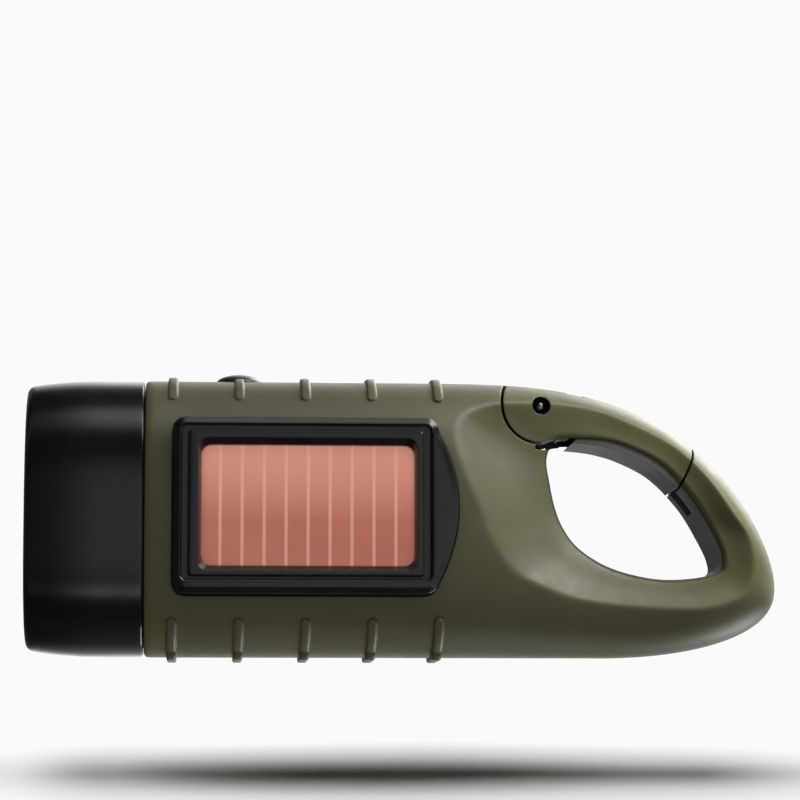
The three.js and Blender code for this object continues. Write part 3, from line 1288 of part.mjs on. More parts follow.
const brass = finish(0xb79a55, 0.35, 1);

// The whole object
const flashlight = new THREE.Group();
flashlight.position.set(-(HEAD_FRONT_X + TIP_X) / 2, 0, HALF_HEIGHT + RIB_HEIGHT);

function place(name, body, material) {
  const mesh = new THREE.Mesh(toGeometry(body), material());
  mesh.name = name;
  flashlight.add(mesh);
}

place('front_shell', frontShell(), oliveShell);
place('back_shell', backShell(), oliveShell);
place('loop_liner', loopLiner(), greyLiner);
place('gate', gate(), oliveShell);
place('gate_liner', gateLiner(), greyLiner);
place('gate_pin', gatePinBar(), steel);
place('gate_spring', gateSpring(), steel);
place('head_cap', headCap(), blackPlastic);
place('lens', headSheet(lensX, LENS_THICKNESS), clearPlastic);
place('reflector', reflector(), mirrorPlastic);
place('led_board', ledBoard(), circuitBoard);
Object.entries(cupZs).forEach(([name, z]) => place(name, lamp(z), ledResin));
place('solar_bezel', solarBezel(), blackPlastic);
place('solar_cell', solarCell(), solarFilm);
place('panel_pad', panelPad(), foam);
place('power_button', powerButton(), rubber);
place('switch_plunger', switchPlunger(), blackPlastic);
place('switch_body', switchBody(), darkSteel);
place('control_board', controlBoard(), circuitBoard);
place('battery_pack', batteryPack(), batteryWrap);
place('generator_case', generatorCase(), darkSteel);
place('generator_coil', generatorCoil(), copper);
place('generator_rotor', generatorRotor(), darkSteel);
place('gear_plate', gearPlate(), steel);
plateScrewShares.forEach((spot, i) => place(`plate_screw_${i + 1}`, plateScrew(spot), steel));
place('gear_axle_a', axle(firstAxis), steel);
place('gear_axle_b', axle(secondAxis), steel);
place('reduction_gear_a', gearPair(
  firstAxis,
  { teeth: FIRST_WHEEL_TEETH, module: firstModule, y: firstWheelY, width: firstWheelWidth },
  { teeth: FIRST_PINION_TEETH, module: crankModule, topY: crankGearY + crankGearWidth + PINION_OVERHANG },
  firstPhase,
), whiteNylon);
place('reduction_gear_b', gearPair(
  secondAxis,
  { teeth: SECOND_WHEEL_TEETH, module: secondModule, y: secondWheelY, width: secondWheelWidth },
  {
    teeth: SECOND_PINION_TEETH,
    module: firstModule,
    topY: firstWheelY + firstWheelWidth + PINION_OVERHANG,
  },
  secondPhase,
), whiteNylon);
place('crank_gear', crankGear(), whiteNylon);
place('crank_bush', crankBush(), brass);
place('crank_arm', crankArm(), blackPlastic);
place('crank_screw', crankScrew(), steel);
place('crank_knob', crankKnob(), blackPlastic);
place('knob_pin', knobPinBar(), steel);
caseScrewPlaces.forEach((spot, i) => place(`case_screw_${i + 1}`, caseScrew(spot), darkSteel));

export default flashlight;
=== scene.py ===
"""Looks of a hand crank flashlight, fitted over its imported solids.

Sizes are in millimetres from the barrel's axis: x runs from lamp to loop, y from the solar side
to the crank side, z is up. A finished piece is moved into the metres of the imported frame.
"""
from __future__ import annotations

import json
import logging
import math
from dataclasses import dataclass, field
from enum import Enum
from typing import Callable, Iterable, Sequence

import bpy
import numpy as np
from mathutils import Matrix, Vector


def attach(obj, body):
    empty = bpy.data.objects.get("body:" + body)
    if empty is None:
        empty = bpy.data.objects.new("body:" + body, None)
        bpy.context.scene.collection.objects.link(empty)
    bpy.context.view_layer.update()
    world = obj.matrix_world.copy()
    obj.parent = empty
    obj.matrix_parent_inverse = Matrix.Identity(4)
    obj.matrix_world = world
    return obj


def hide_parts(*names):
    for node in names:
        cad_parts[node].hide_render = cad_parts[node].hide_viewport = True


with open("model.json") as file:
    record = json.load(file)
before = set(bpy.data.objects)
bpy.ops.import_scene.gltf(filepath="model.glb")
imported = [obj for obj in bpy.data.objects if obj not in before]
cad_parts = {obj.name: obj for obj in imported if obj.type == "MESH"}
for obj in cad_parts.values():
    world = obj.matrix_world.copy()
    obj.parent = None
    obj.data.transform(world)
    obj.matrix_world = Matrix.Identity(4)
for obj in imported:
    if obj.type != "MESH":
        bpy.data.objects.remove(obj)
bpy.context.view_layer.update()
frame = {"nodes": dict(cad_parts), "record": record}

Thing = bpy.types.Object
Socket = bpy.types.NodeSocket
Tree = bpy.types.NodeTree
Pair = tuple[float, float]
Colour = tuple[float, float, float, float]

LOG = logging.getLogger("flashlight")
MM = 0.001
# Added to a place measured from the barrel's axis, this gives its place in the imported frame.
SHIFT = np.array([-0.95, 0.0, 25.3])
# Fits and walls that several pieces share.
CLEARANCE = 0.3
SEAM = 0.3
WALL = 1.8
# FAR is past every piece, OVERRUN is what a cutter adds, TINY and SLIVER are too small to see.
FAR = 60.0
OVERRUN = 1.0
TINY = 1e-4
SLIVER = 0.01
# How finely curves are drawn.
EVEN_SAMPLES = 1600
ROUND_SIDES = 96
EDGE_STEPS = 6
CORNER_STEPS = 8


class Cut(Enum):
    """How one solid acts on another."""

    JOIN = "UNION"
    CARVE = "DIFFERENCE"
    KEEP = "INTERSECT"


class Side(Enum):
    """The two halves of the case."""

    SOLAR = -1
    CRANK = 1


class Axis(Enum):
    """The line that a turned piece spins about."""

    X = 0
    Y = 1
    Z = 2


# Meshes and solids


def link(name: str, data: bpy.types.ID) -> Thing:
    """Put a mesh, a light or a camera in the scene.

    Args:
        name: the object's name.
        data: what the object shows.

    Returns:
        The object.
    """
    thing = bpy.data.objects.new(name, data)
    bpy.context.scene.collection.objects.link(thing)
    return thing


def mesh_object(name: str, points: np.ndarray, faces: list[tuple[int, ...]]) -> Thing:
    """Make an object from points and faces, turned so that its faces point outwards.

    Args:
        name: the object's name.
        points: corner places, one row each.
        faces: corner numbers of each face.

    Returns:
        The object, linked to the scene.
    """
    volume = 0.0
    for face in faces:
        a = points[face[0]]
        for j in range(1, len(face) - 1):
            volume += float(np.dot(a, np.cross(points[face[j]], points[face[j + 1]])))
    if volume < 0:
        faces = [tuple(reversed(face)) for face in faces]
    mesh = bpy.data.meshes.new(name)
    mesh.from_pydata(points.tolist(), [], faces)
    mesh.update()
    return link(name, mesh)


def loft(name: str, rings: Sequence[np.ndarray], hub: np.ndarray | None = None) -> Thing:
    """Skin a row of rings that have equally many points, and close both ends with fans.

    Args:
        name: the object's name.
        rings: the rings in order, each an array of points.
        hub: side view place (x, z) that the end fans start from, or None for the rings' middle.

    Returns:
        The closed object.
    """
    sides = len(rings[0])
    points = np.concatenate(list(rings))
    ends = [np.mean(ring, axis=0) for ring in (rings[0], rings[-1])]
    if hub is not None:
        ends = [np.array([hub[0], end[1], hub[1]]) for end in ends]
    points = np.vstack([points, *ends])
    first, last = len(points) - 2, len(points) - 1
    faces = [
        (i * sides + k, i * sides + (k + 1) % sides,
         (i + 1) * sides + (k + 1) % sides, (i + 1) * sides + k)
        for i in range(len(rings) - 1) for k in range(sides)
    ]
    tail = (len(rings) - 1) * sides
    faces += [(k, first, (k + 1) % sides) for k in range(sides)]
    faces += [(tail + k, tail + (k + 1) % sides, last) for k in range(sides)]
    return mesh_object(name, points, faces)


def at_depth(outline: np.ndarray, y: float) -> np.ndarray:
    """The (x, z) points of a side view outline, placed at one y."""
    return np.column_stack([outline[:, 0], np.full(len(outline), y), outline[:, 1]])


def prism(name: str, outline: np.ndarray, y0: float, y1: float) -> Thing:
    """Thicken a side view outline along y.

    Args:
        name: the object's name.
        outline: the outline's (x, z) points.
        y0: lowest y.
        y1: highest y.

    Returns:
        The closed object.
    """
    sides = len(outline)
    rings = [at_depth(outline, y) for y in (y0, y1)]
    faces = [(k, (k + 1) % sides, sides + (k + 1) % sides, sides + k) for k in range(sides)]
    faces += [tuple(range(sides - 1, -1, -1)), tuple(range(sides, 2 * sides))]
    return mesh_object(name, np.vstack(rings), faces)


def slab(name: str, low: Sequence[float], high: Sequence[float]) -> Thing:
    """A block between two corners, used to carve or halve other solids.

    Args:
        name: the object's name.
        low: lowest x, y and z.
        high: highest x, y and z.

    Returns:
        The closed object.
    """
    (x0, y0, z0), (x1, y1, z1) = low, high
    return prism(name, np.array([[x0, z0], [x1, z0], [x1, z1], [x0, z1]]), y0, y1)


def turned(name: str, axis: Axis, place: Sequence[float], profile: Sequence[Pair],
           sides: int = 64) -> Thing:
    """Spin a profile about an axis.

    Args:
        name: the object's name.
        axis: the line it spins about.
        place: a point (x, y, z) on that line.
        profile: radius and distance along the axis of each point, from end to end.
        sides: how many facets go round.

    Returns:
        The closed object.
    """
    turns = np.linspace(0, 2 * math.pi, sides, endpoint=False)
    rings = []
    for radius, along in profile:
        ring = np.zeros((sides, 3))
        ring[:, (axis.value + 1) % 3] = max(radius, TINY) * np.cos(turns)
        ring[:, (axis.value + 2) % 3] = max(radius, TINY) * np.sin(turns)
        ring[:, axis.value] = along
        rings.append(ring + np.array(place, dtype=float))
    return loft(name, rings)


def bar(name: str, place: Pair, radius: float, start: float, end: float,
        sides: int = 64, axis: Axis = Axis.Y) -> Thing:
    """A round bar along y or z.

    Args:
        name: the object's name.
        place: its (x, z), or its (x, y) when it runs along z.
        radius: its radius.
        start: where it starts along its axis.
        end: where it ends.
        sides: how many facets go round.
        axis: the line that it runs along.

    Returns:
        The closed bar.
    """
    centre = (place[0], 0, place[1]) if axis is Axis.Y else (*place, 0)
    return turned(name, axis, centre, [(radius, start), (radius, end)], sides)


def act(base: Thing, how: Cut, tools: Iterable[Thing]) -> Thing:
    """Join, carve or keep the common part of solids, and use the tools up.

    Args:
        base: the solid that is changed.
        how: what the tools do to it.
        tools: the solids that act.

    Returns:
        The changed base.
    """
    used = list(tools)
    for tool in used:
        boolean = base.modifiers.new("act", "BOOLEAN")
        boolean.solver = "MANIFOLD"
        boolean.operation = how.value
        boolean.object = tool
    bpy.context.view_layer.update()
    graph = bpy.context.evaluated_depsgraph_get()
    done = bpy.data.meshes.new_from_object(base.evaluated_get(graph))
    old = base.data
    base.modifiers.clear()
    base.data = done
    bpy.data.meshes.remove(old)
    for tool in used:
        drop(tool)
    return base


def drop(thing: Thing) -> None:
    """Delete an object with its mesh.

    Args:
        thing: the object.
    """
    mesh = thing.data
    bpy.data.objects.remove(thing)
    bpy.data.meshes.remove(mesh)


def twin(thing: Thing, name: str) -> Thing:
    """Copy an object with its own mesh.

    Args:
        thing: the object to copy.
        name: the copy's name.

    Returns:
        The copy, linked to the scene.
    """
    return link(name, thing.data.copy())


def move_points(mesh: bpy.types.Mesh, change: Callable[[np.ndarray], np.ndarray]) -> None:
    """Move all points of a mesh.

    Args:
        mesh: the mesh.
        change: gives the new places for the old ones, one row each.
    """
    places = np.empty(3 * len(mesh.vertices))
    mesh.vertices.foreach_get("co", places)
    mesh.vertices.foreach_set("co", change(places.reshape(-1, 3)).ravel())


def ease(share: float | np.ndarray) -> float | np.ndarray:
    """Smooth step of a share from 0 to 1."""
    return share * share * (3 - 2 * share)


def soft_min(a: np.ndarray, b: np.ndarray, reach: float) -> np.ndarray:
    """Smaller of two heights, rounded where they meet.

    Args:
        a: first heights.
        b: second heights.
        reach: how far apart they may be and still blend.

    Returns:
        The blended heights.
    """
    near = np.maximum(reach - np.abs(a - b), 0) / reach
    return np.minimum(a, b) - near * near * reach / 4


def evenly(points: np.ndarray, count: int) -> np.ndarray:
    """Spread points evenly along a closed line.

    Args:
        points: the line's points, first and last the same.
        count: how many points to return.

    Returns:
        Points at even steps along the line.
    """
    steps = np.linalg.norm(np.diff(points, axis=0), axis=1)
    along = np.concatenate([[0], np.cumsum(steps)])
    places = np.linspace(0, along[-1], count, endpoint=False)
    return np.column_stack([np.interp(places, along, points[:, i]) for i in range(points.shape[1])])


def arc_points(start: float, end: float, count: int) -> list[Pair]:
    """Cosine and sine at even steps between two angles in degrees."""
    return [(math.cos(math.radians(a)), math.sin(math.radians(a)))
            for a in np.linspace(start, end, count)]


# Forms shared by several pieces


@dataclass(frozen=True)
class BarrelForm:
    """The flat oval barrel that narrows into the carabiner tail."""

    half_height: float = 24.6
    half_depth: float = 17.0
    power: float = 2.6
    front_x: float = -45.25
    tip_x: float = 67.86
    tip_z: float = -11.5
    top_fall: tuple[float, float, float] = (5.0, 3.15, 1.45)
    bottom_rise: tuple[float, float, float] = (36.0, 2.1, 2.5)
    loop_half_depth: float = 12.0
    fade_end_x: float = 45.0
    nose: Pair = (50.0, 2.4)
    sides: int = 300
    tail_stations: int = 210

    @staticmethod
    def share(x: np.ndarray, start: float, end: float) -> np.ndarray:
        """Share of the way from start to end, held between 0 and 1."""
        return np.clip((x - start) / (end - start), 0, 1)

    def top(self, x: np.ndarray) -> np.ndarray:
        """Height of the upper outline at x.

        Args:
            x: places along the length.

        Returns:
            The height at each place.
        """
        start, fall, rounding = self.top_fall
        reach = (1 - self.share(x, start, self.tip_x) ** fall) ** (1 / rounding)
        return self.tip_z + (self.half_height - self.tip_z) * reach

    def bottom(self, x: np.ndarray) -> np.ndarray:
        """Height of the lower outline at x.

        Args:
            x: places along the length.

        Returns:
            The height at each place.
        """
        start, rise, rounding = self.bottom_rise
        reach = (1 - self.share(x, start, self.tip_x) ** rise) ** (1 / rounding)
        return self.tip_z - (self.half_height + self.tip_z) * reach

    def depth(self, x: np.ndarray) -> np.ndarray:
        """Half depth of the section at x.

        Args:
            x: places along the length.

        Returns:
            The half depth at each place.
        """
        start, power = self.nose
        nose = (1 - self.share(x, start, self.tip_x) ** power) ** (1 / power)
        fade = ease(self.share(x, 0, self.fade_end_x))
        return (self.half_depth + (self.loop_half_depth - self.half_depth) * fade) * nose

    def skin(self, x: np.ndarray, z: np.ndarray) -> np.ndarray:
        """Depth of the outer skin from the mid plane at a side view place.

        Args:
            x: places along the length.
            z: heights.

        Returns:
            The depth at each place.
        """
        top, bottom = self.top(x), self.bottom(x)
        share = np.clip(np.abs(z - (top + bottom) / 2) / ((top - bottom) / 2), 0, 1)
        return self.depth(x) * (1 - share ** self.power) ** (1 / self.power)

    def oval(self, half_y: float, half_z: float, count: int) -> np.ndarray:
        """Even (y, z) points round a section.

        Args:
            half_y: half depth.
            half_z: half height.
            count: how many points.

        Returns:
            The points, one row each.
        """
        turn = np.linspace(0, 2 * math.pi, EVEN_SAMPLES + 1)
        c, s = np.cos(turn), np.sin(turn)
        bow = 2 / self.power
        line = np.column_stack([half_y * np.sign(c) * np.abs(c) ** bow,
                                half_z * np.sign(s) * np.abs(s) ** bow])
        return evenly(line, count)

    def ring(self, x: float, inset: float = 0.0) -> np.ndarray:
        """One section of the barrel or tail, drawn in by an inset.

        Args:
            x: its place along the length.
            inset: how far it is drawn in.

        Returns:
            Its points, one row each.
        """
        at = np.array([x])
        top, bottom = float(self.top(at)[0]), float(self.bottom(at)[0])
        line = self.oval(float(self.depth(at)[0]) - inset, (top - bottom) / 2 - inset, self.sides)
        return np.column_stack([np.full(self.sides, x), line[:, 0], line[:, 1] + (top + bottom) / 2])

    def tube(self, name: str, x0: float, x1: float, half_y: float, half_z: float) -> Thing:
        """A straight tube of the barrel's section, filled.

        Args:
            name: the object's name.
            x0: where it starts.
            x1: where it ends.
            half_y: half depth.
            half_z: half height.

        Returns:
            The closed tube.
        """
        line = self.oval(half_y, half_z, self.sides)
        rings = [np.column_stack([np.full(self.sides, x), line]) for x in (x0, x1)]
        return loft(name, rings)


@dataclass(frozen=True)
class LoopForm:
    """The flared opening of the tail: its edge, its ridge and its centre."""

    centre: Pair = (42.0, 0.02 * BarrelForm.half_height)
    reach: float = 15.6
    rise: float = 0.512 * BarrelForm.half_height
    ridge_reach: float = 32.0
    ridge_rise: float = 0.825 * BarrelForm.half_height
    edge_half_depth: float = 8.0
    hollow: float = 0.028
    roll: float = 0.6
    roll_probes: Pair = (0.5, 2.0)
    roll_steepening: float = 0.6
    roll_blend_deg: float = 12.0
    crease: float = 0.35
    sides: int = 288
    gate_roll: float = 2.1
    gate_span: Pair = (-32.0, 147.0)
    groove_half: float = 7.6
    opening_shares: tuple[Pair, ...] = (
        (-1.045, 0.8), (-1.0, 0.97), (-0.88, 1.04), (-0.74, 1.055), (-0.56, 1.04), (-0.385, 1.01),
        (-0.09, 0.905), (0.29, 0.66), (0.64, 0.21), (0.865, -0.26), (0.985, -0.6), (0.99, -0.76),
        (0.88, -0.85), (0.6, -0.92), (0.2, -0.925), (-0.33, -0.76), (-0.7, -0.465), (-0.865, -0.185),
        (-0.953, 0.095), (-1.018, 0.5),
    )
    ridge_shares: tuple[Pair, ...] = (
        (-1.021, 0.675), (-0.985, 0.397), (-0.894, 0.038), (-0.829, -0.233), (-0.762, -0.418),
        (-0.673, -0.552), (-0.562, -0.634), (-0.394, -0.732), (-0.227, -0.78), (-0.005, -0.811),
        (0.215, -0.827), (0.381, -0.818), (0.526, -0.756), (0.607, -0.67), (0.648, -0.52),
        (0.65, -0.33), (0.62, -0.17), (0.54, 0.01), (0.437, 0.257), (0.327, 0.462), (0.22, 0.61),
        (0.103, 0.718), (-0.039, 0.824), (-0.181, 0.912), (-0.3, 0.955), (-0.46, 0.98),
        (-0.677, 0.972), (-0.82, 0.952), (-0.924, 0.898), (-0.99, 0.82),
    )

    @staticmethod
    def smooth_line(knots: np.ndarray, steps: int = 60) -> np.ndarray:
        """Closed smooth line through knots, its tangents weighted by their spacing.

        Args:
            knots: the knots, one row each.
            steps: points for each span.

        Returns:
            Points along the line.
        """
        p0, p1, p2, p3 = (np.roll(knots, shift, axis=0) for shift in (1, 0, -1, -2))
        gaps = [np.linalg.norm(b - a, axis=1, keepdims=True) ** 0.5
                for a, b in ((p0, p1), (p1, p2), (p2, p3))]
        leave = ((p1 - p0) / gaps[0] - (p2 - p0) / (gaps[0] + gaps[1]) + (p2 - p1) / gaps[1]) * gaps[1]
        arrive = ((p2 - p1) / gaps[1] - (p3 - p1) / (gaps[1] + gaps[2]) + (p3 - p2) / gaps[2]) * gaps[1]
        t = np.linspace(0, 1, steps, endpoint=False)[None, :, None]
        a, b, u, v = (q[:, None, :] for q in (p1, p2, leave, arrive))
        line = (a + u * t + (3 * (b - a) - 2 * u - v) * t ** 2 + (2 * (a - b) + u + v) * t ** 3)
        return line.reshape(-1, 2)

    def distances(self, shares: Sequence[Pair], reach: float,
                  rise: float) -> Callable[[np.ndarray], np.ndarray]:
        """Distance of an outline from the centre by angle.

        Args:
            shares: the outline's knots as shares of reach and rise.
            reach: length that the first share counts.
            rise: length that the second share counts.

        Returns:
            A function of the angle.
        """
        line = self.smooth_line(np.array(shares) * np.array([reach, rise]))
        angles = np.arctan2(line[:, 1], line[:, 0]) % (2 * math.pi)
        order = np.argsort(angles)
        lengths = np.linalg.norm(line, axis=1)[order]
        return lambda angle: np.interp(angle, angles[order], lengths, period=2 * math.pi)

    @property
    def edge(self) -> Callable[[np.ndarray], np.ndarray]:
        """Distance of the opening's edge by angle."""
        return self.distances(self.opening_shares, self.reach, self.rise)

    @property
    def ridge(self) -> Callable[[np.ndarray], np.ndarray]:
        """Distance of the flare's ridge by angle."""
        return self.distances(self.ridge_shares, self.ridge_reach, self.ridge_rise)

    @property
    def angles(self) -> np.ndarray:
        """Even angles round the centre."""
        return np.linspace(0, 2 * math.pi, self.sides, endpoint=False)

    def around(self, angle: np.ndarray, reach: np.ndarray, y: float | np.ndarray) -> np.ndarray:
        """Points at angles and distances from the centre.

        Args:
            angle: angles.
            reach: distances.
            y: one depth, or one for each.

        Returns:
            The points, one row each.
        """
        depth = np.broadcast_to(np.asarray(y, dtype=float), angle.shape)
        return np.column_stack([self.centre[0] + reach * np.cos(angle), depth,
                                self.centre[1] + reach * np.sin(angle)])

    def flare(self, x: np.ndarray, z: np.ndarray, barrel: BarrelForm) -> np.ndarray:
        """Depth of the flare at side view places: the edge's depth rising to the ridge's.

        Args:
            x: places along the length.
            z: heights.
            barrel: the form that the ridge lies on.

        Returns:
            The flare's half depth at each place.
        """
        dx, dz = x - self.centre[0], z - self.centre[1]
        angle = np.arctan2(dz, dx) % (2 * math.pi)
        inner, outer = self.edge(angle), self.ridge(angle)
        crest = self.around(angle, outer, 0)
        high = barrel.skin(crest[:, 0], crest[:, 2])
        share = (np.hypot(dx, dz) - inner) / (outer - inner)
        sag = self.hollow * (outer - inner) * np.sin(math.pi * np.clip(share, 0, 1)) ** 2
        return self.edge_half_depth + (high - self.edge_half_depth) * np.maximum(share, 0) - sag

    def band(self, name: str, inset: float, outset: float, half: float) -> Thing:
        """A band that follows the opening's edge.

        Args:
            name: the object's name.
            inset: how far inside the edge it starts.
            outset: how far outside it ends.
            half: its half depth.

        Returns:
            The closed band.
        """
        angle = self.angles
        reach = self.edge(angle)
        rings = [self.around(angle, reach + outset, y) for y in (-half, half)]
        hole = [self.around(angle, reach + inset, y) for y in (-FAR, FAR)]
        hub = np.array(self.centre)
        return act(loft(name, rings, hub), Cut.CARVE, [loft(name + "_hole", hole, hub)])

    def rolls(self, angle: np.ndarray) -> np.ndarray:
        """Radius of the opening's rounded edge by angle: wider along the gate and the hook.

        Args:
            angle: angles.

        Returns:
            The radius at each angle.
        """
        degrees = (np.degrees(angle) + 180) % 360 - 180
        low, high = self.gate_span
        blend = self.roll_blend_deg
        inside = ease(np.clip((degrees - low) / blend, 0, 1)) * ease(np.clip((high - degrees) / blend, 0, 1))
        return self.roll + (self.gate_roll - self.roll) * inside

    def mouth(self, name: str, barrel: BarrelForm) -> Thing:
        """The solid that cuts the opening and rolls its edges.

        Args:
            name: the object's name.
            barrel: the form that the ridge lies on.

        Returns:
            The closed cutter.
        """
        angle = self.angles
        reach = self.edge(angle)
        roll = self.rolls(angle)
        near, far = self.roll_probes
        probe = [self.around(angle, reach + step * roll, 0) for step in (near, far)]
        depth = [self.flare(p[:, 0], p[:, 2], barrel) for p in probe]
        slope = (depth[1] - depth[0]) / ((far - near) * roll)
        start = depth[0] - slope * roll * near
        secant = np.sqrt(1 + slope ** 2)
        centre_y = start + slope * roll - roll * secant
        turn_end = math.pi / 2 + np.arctan(slope)
        rings = []
        for share in np.linspace(0, 1, CORNER_STEPS + 1):
            turn = math.pi + (turn_end - math.pi) * share
            rings.append((reach + roll + roll * np.cos(turn), centre_y + roll * np.sin(turn)))
        out_reach, out_y = rings[-1]
        rings.append((out_reach + roll, out_y + (slope + self.roll_steepening) * roll))
        rings.append((out_reach + roll, np.full_like(out_y, FAR)))
        whole = [self.around(angle, r, -y) for r, y in reversed(rings)]
        whole += [self.around(angle, r, y) for r, y in rings]
        return loft(name, whole, np.array(self.centre))


@dataclass(frozen=True)
class GateForm:
    """Where the gate turns and where it is parted from the tail."""

    pin: Pair = (25.0, 20.0)
    disc: float = 6.7
    disc_centre: Pair = (24.8, 20.2)
    gap: float = 0.5
    joint_radius: float = 28.5
    joint_gap: float = 0.4
    joint_span: Pair = (-45.0, 20.0)
    joint_steps: int = 90
    sector_steps: int = 12
    disc_sides: int = 160
    heel_offset: float = 2.5
    heel_run: float = 2.0
    foot_share: float = 0.865
    fork_half_gap: float = 4.3
    fork_radius: float = 8.6
    pin_radius: float = 1.0
    pin_hole: float = 1.65
    mouth_deg: float = -27.5
    tongue: Pair = (5.0, 0.5)
    tongue_reach: float = 3.0
    tongue_root: float = 3.7
    tongue_half: float = 2.6
    notch_reach: float = 5.0
    notch_low: float = -10.0
    heel_recess: Pair = (29.6, 10.2)
    recess_radius: float = 3.8
    recess_half: float = 6.9
    recess_depth: float = 1.3
    notch_margin: float = 0.8
    heel_reach: float = 7.9
    heel_sweep: Pair = (-62.0, -98.0)

    def from_pin(self, reach: float, degrees: float) -> Pair:
        """A side view place by its distance and angle from the pin."""
        turn = math.radians(degrees)
        return self.pin[0] + reach * math.cos(turn), self.pin[1] + reach * math.sin(turn)

    def region(self, name: str, disc_gap: float, joint_gap: float, loop: LoopForm) -> Thing:
        """The part of the side view that belongs to the gate.

        Args:
            name: the object's name.
            disc_gap: growth of its round heel.
            joint_gap: growth at its free end.
            loop: the opening that its foot meets.

        Returns:
            A solid as deep as the whole case.
        """
        low, high = self.joint_span
        reach = self.joint_radius + joint_gap
        arc = [self.from_pin(reach, d) for d in np.linspace(low, high, self.joint_steps)]
        heel = self.pin[0] + self.heel_offset
        lift = self.pin[1] + self.joint_radius / 2
        foot = loop.centre[1] + self.foot_share * loop.rise
        outline = [(heel, lift), (heel, self.pin[1] - self.disc), (heel + self.heel_run, foot),
                   *arc, (arc[-1][0], lift)]
        wedge = prism(name, np.array(outline), -FAR, FAR)
        disc = bar(name + "_disc", self.disc_centre, self.disc + disc_gap, -FAR, FAR, self.disc_sides)
        return act(wedge, Cut.JOIN, [disc])

    def sector(self, name: str, near: float, far: float, high: float, low: float,
               half: float) -> Thing:
        """A wedge between two angles and two distances from the pin.

        Args:
            name: the object's name.
            near: distance that it starts at.
            far: distance that it ends at.
            high: its upper angle in degrees.
            low: its lower angle in degrees.
            half: its half depth.

        Returns:
            The closed wedge.
        """
        arc = [self.from_pin(far, d) for d in np.linspace(high, low, self.sector_steps)]
        outline = [self.from_pin(near, high), *arc, self.from_pin(near, low)]
        return prism(name, np.array(outline), -half, half)

    def recess(self) -> list[Thing]:
        """The hollow under the heel: an arc right through, and a deeper slot behind its rims.

        Returns:
            The two cutters.
        """
        deep = self.recess_radius + self.recess_depth
        return [bar("heel_arc", self.heel_recess, self.recess_radius, -FAR, FAR, ROUND_SIDES),
                bar("heel_slot", self.heel_recess, deep, -self.recess_half, self.recess_half, ROUND_SIDES)]

    def swing_room(self) -> Thing:
        """The room that the gate's heel sweeps through as it opens."""
        return self.sector("swing_room", self.disc - OVERRUN, self.heel_reach, *self.heel_sweep, FAR)

    def notch(self, name: str) -> Thing:
        """The slot in the hook that takes the gate's tongue.

        Args:
            name: the object's name.

        Returns:
            The cutter.
        """
        return self.sector(name, self.joint_radius - self.tongue_root,
                           self.joint_radius + self.notch_reach,
                           self.mouth_deg + self.tongue[0] + self.notch_margin,
                           self.mouth_deg + self.notch_low, self.tongue_half + CLEARANCE)

    def tongue_bar(self, name: str, gap: float, turn_gap: float) -> Thing:
        """The latch tongue, or the slot for its root when given gaps.

        Args:
            name: the object's name.
            gap: growth on its sides and root.
            turn_gap: growth over it, in degrees.

        Returns:
            The closed bar.
        """
        return self.sector(name, self.joint_radius - self.tongue_root - gap,
                           self.joint_radius + self.tongue_reach,
                           self.mouth_deg + self.tongue[0] + turn_gap,
                           self.mouth_deg + self.tongue[1], self.tongue_half + gap)


BARREL = BarrelForm()
LOOP = LoopForm()
GATE = GateForm()


# Shader groups shared by the finishes


class NodeSheet:
    """A thin layer over a node tree that places and wires its nodes."""

    def __init__(self, tree: Tree) -> None:
        """Keep the tree and start with an empty sheet."""
        self.tree = tree
        tree.nodes.clear()

    def add(self, kind: str, settings: dict | None = None, **inputs: object) -> bpy.types.Node:
        """Place a node.

        Args:
            kind: the node's type name.
            settings: attributes of the node itself.
            inputs: values or output sockets, by input name with spaces as underscores.

        Returns:
            The node.
        """
        node = self.tree.nodes.new(kind)
        node.location = (200 * len(self.tree.nodes), 0)
        for key, value in (settings or {}).items():
            setattr(node, key, value)
        for key, value in inputs.items():
            self.feed(node, key.replace("_", " "), value)
        return node

    def feed(self, node: bpy.types.Node, name: str, value: object) -> None:
        """Set one input by name or number, by value or by a link.

        Args:
            node: the node.
            name: the input's name, or i with its number.
            value: a value or an output socket.
        """
        socket = node.inputs[int(name[1:])] if name[1:].isdigit() else node.inputs[name]
        if isinstance(value, Socket):
            self.tree.links.new(value, socket)
        else:
            socket.default_value = value

    def place(self) -> Socket:
        """Where a point lies on the piece."""
        return self.add("ShaderNodeTexCoord").outputs["Object"]

    def split(self, vector: Socket) -> bpy.types.NodeOutputs:
        """The x, y and z of a vector."""
        return self.add("ShaderNodeSeparateXYZ", Vector=vector).outputs

    def maths(self, operation: str, *values: object, clamp: bool = False) -> Socket:
        """A chain link of arithmetic on sockets or numbers.

        Args:
            operation: the sum's name.
            values: its sockets or numbers.
            clamp: whether the result is held between 0 and 1.

        Returns:
            The socket of the result.
        """
        node = self.add("ShaderNodeMath", {"operation": operation, "use_clamp": clamp})
        for i, value in enumerate(values):
            self.feed(node, f"i{i}", value)
        return node.outputs[0]

    def blend(self, share: object, a: object, b: object) -> Socket:
        """A colour between a and b.

        Args:
            share: share of b.
            a: first colour.
            b: second colour.

        Returns:
            The socket of the result.
        """
        node = self.add("ShaderNodeMix", {"data_type": "RGBA"})
        for i, value in ((0, share), (6, a), (7, b)):
            self.feed(node, f"i{i}", value)
        return node.outputs[2]

    def between(self, value: object, low: float, high: float, start: float = 0.0,
                end: float = 1.0) -> Socket:
        """A value moved from one span to another and held there.

        Args:
            value: the value.
            low: start of its span.
            high: end of its span.
            start: what the span's start becomes.
            end: what its end becomes.

        Returns:
            The socket of the result.
        """
        node = self.add("ShaderNodeMapRange", Value=value)
        for i, number in ((1, low), (2, high), (3, start), (4, end)):
            node.inputs[i].default_value = number
        return node.outputs[0]


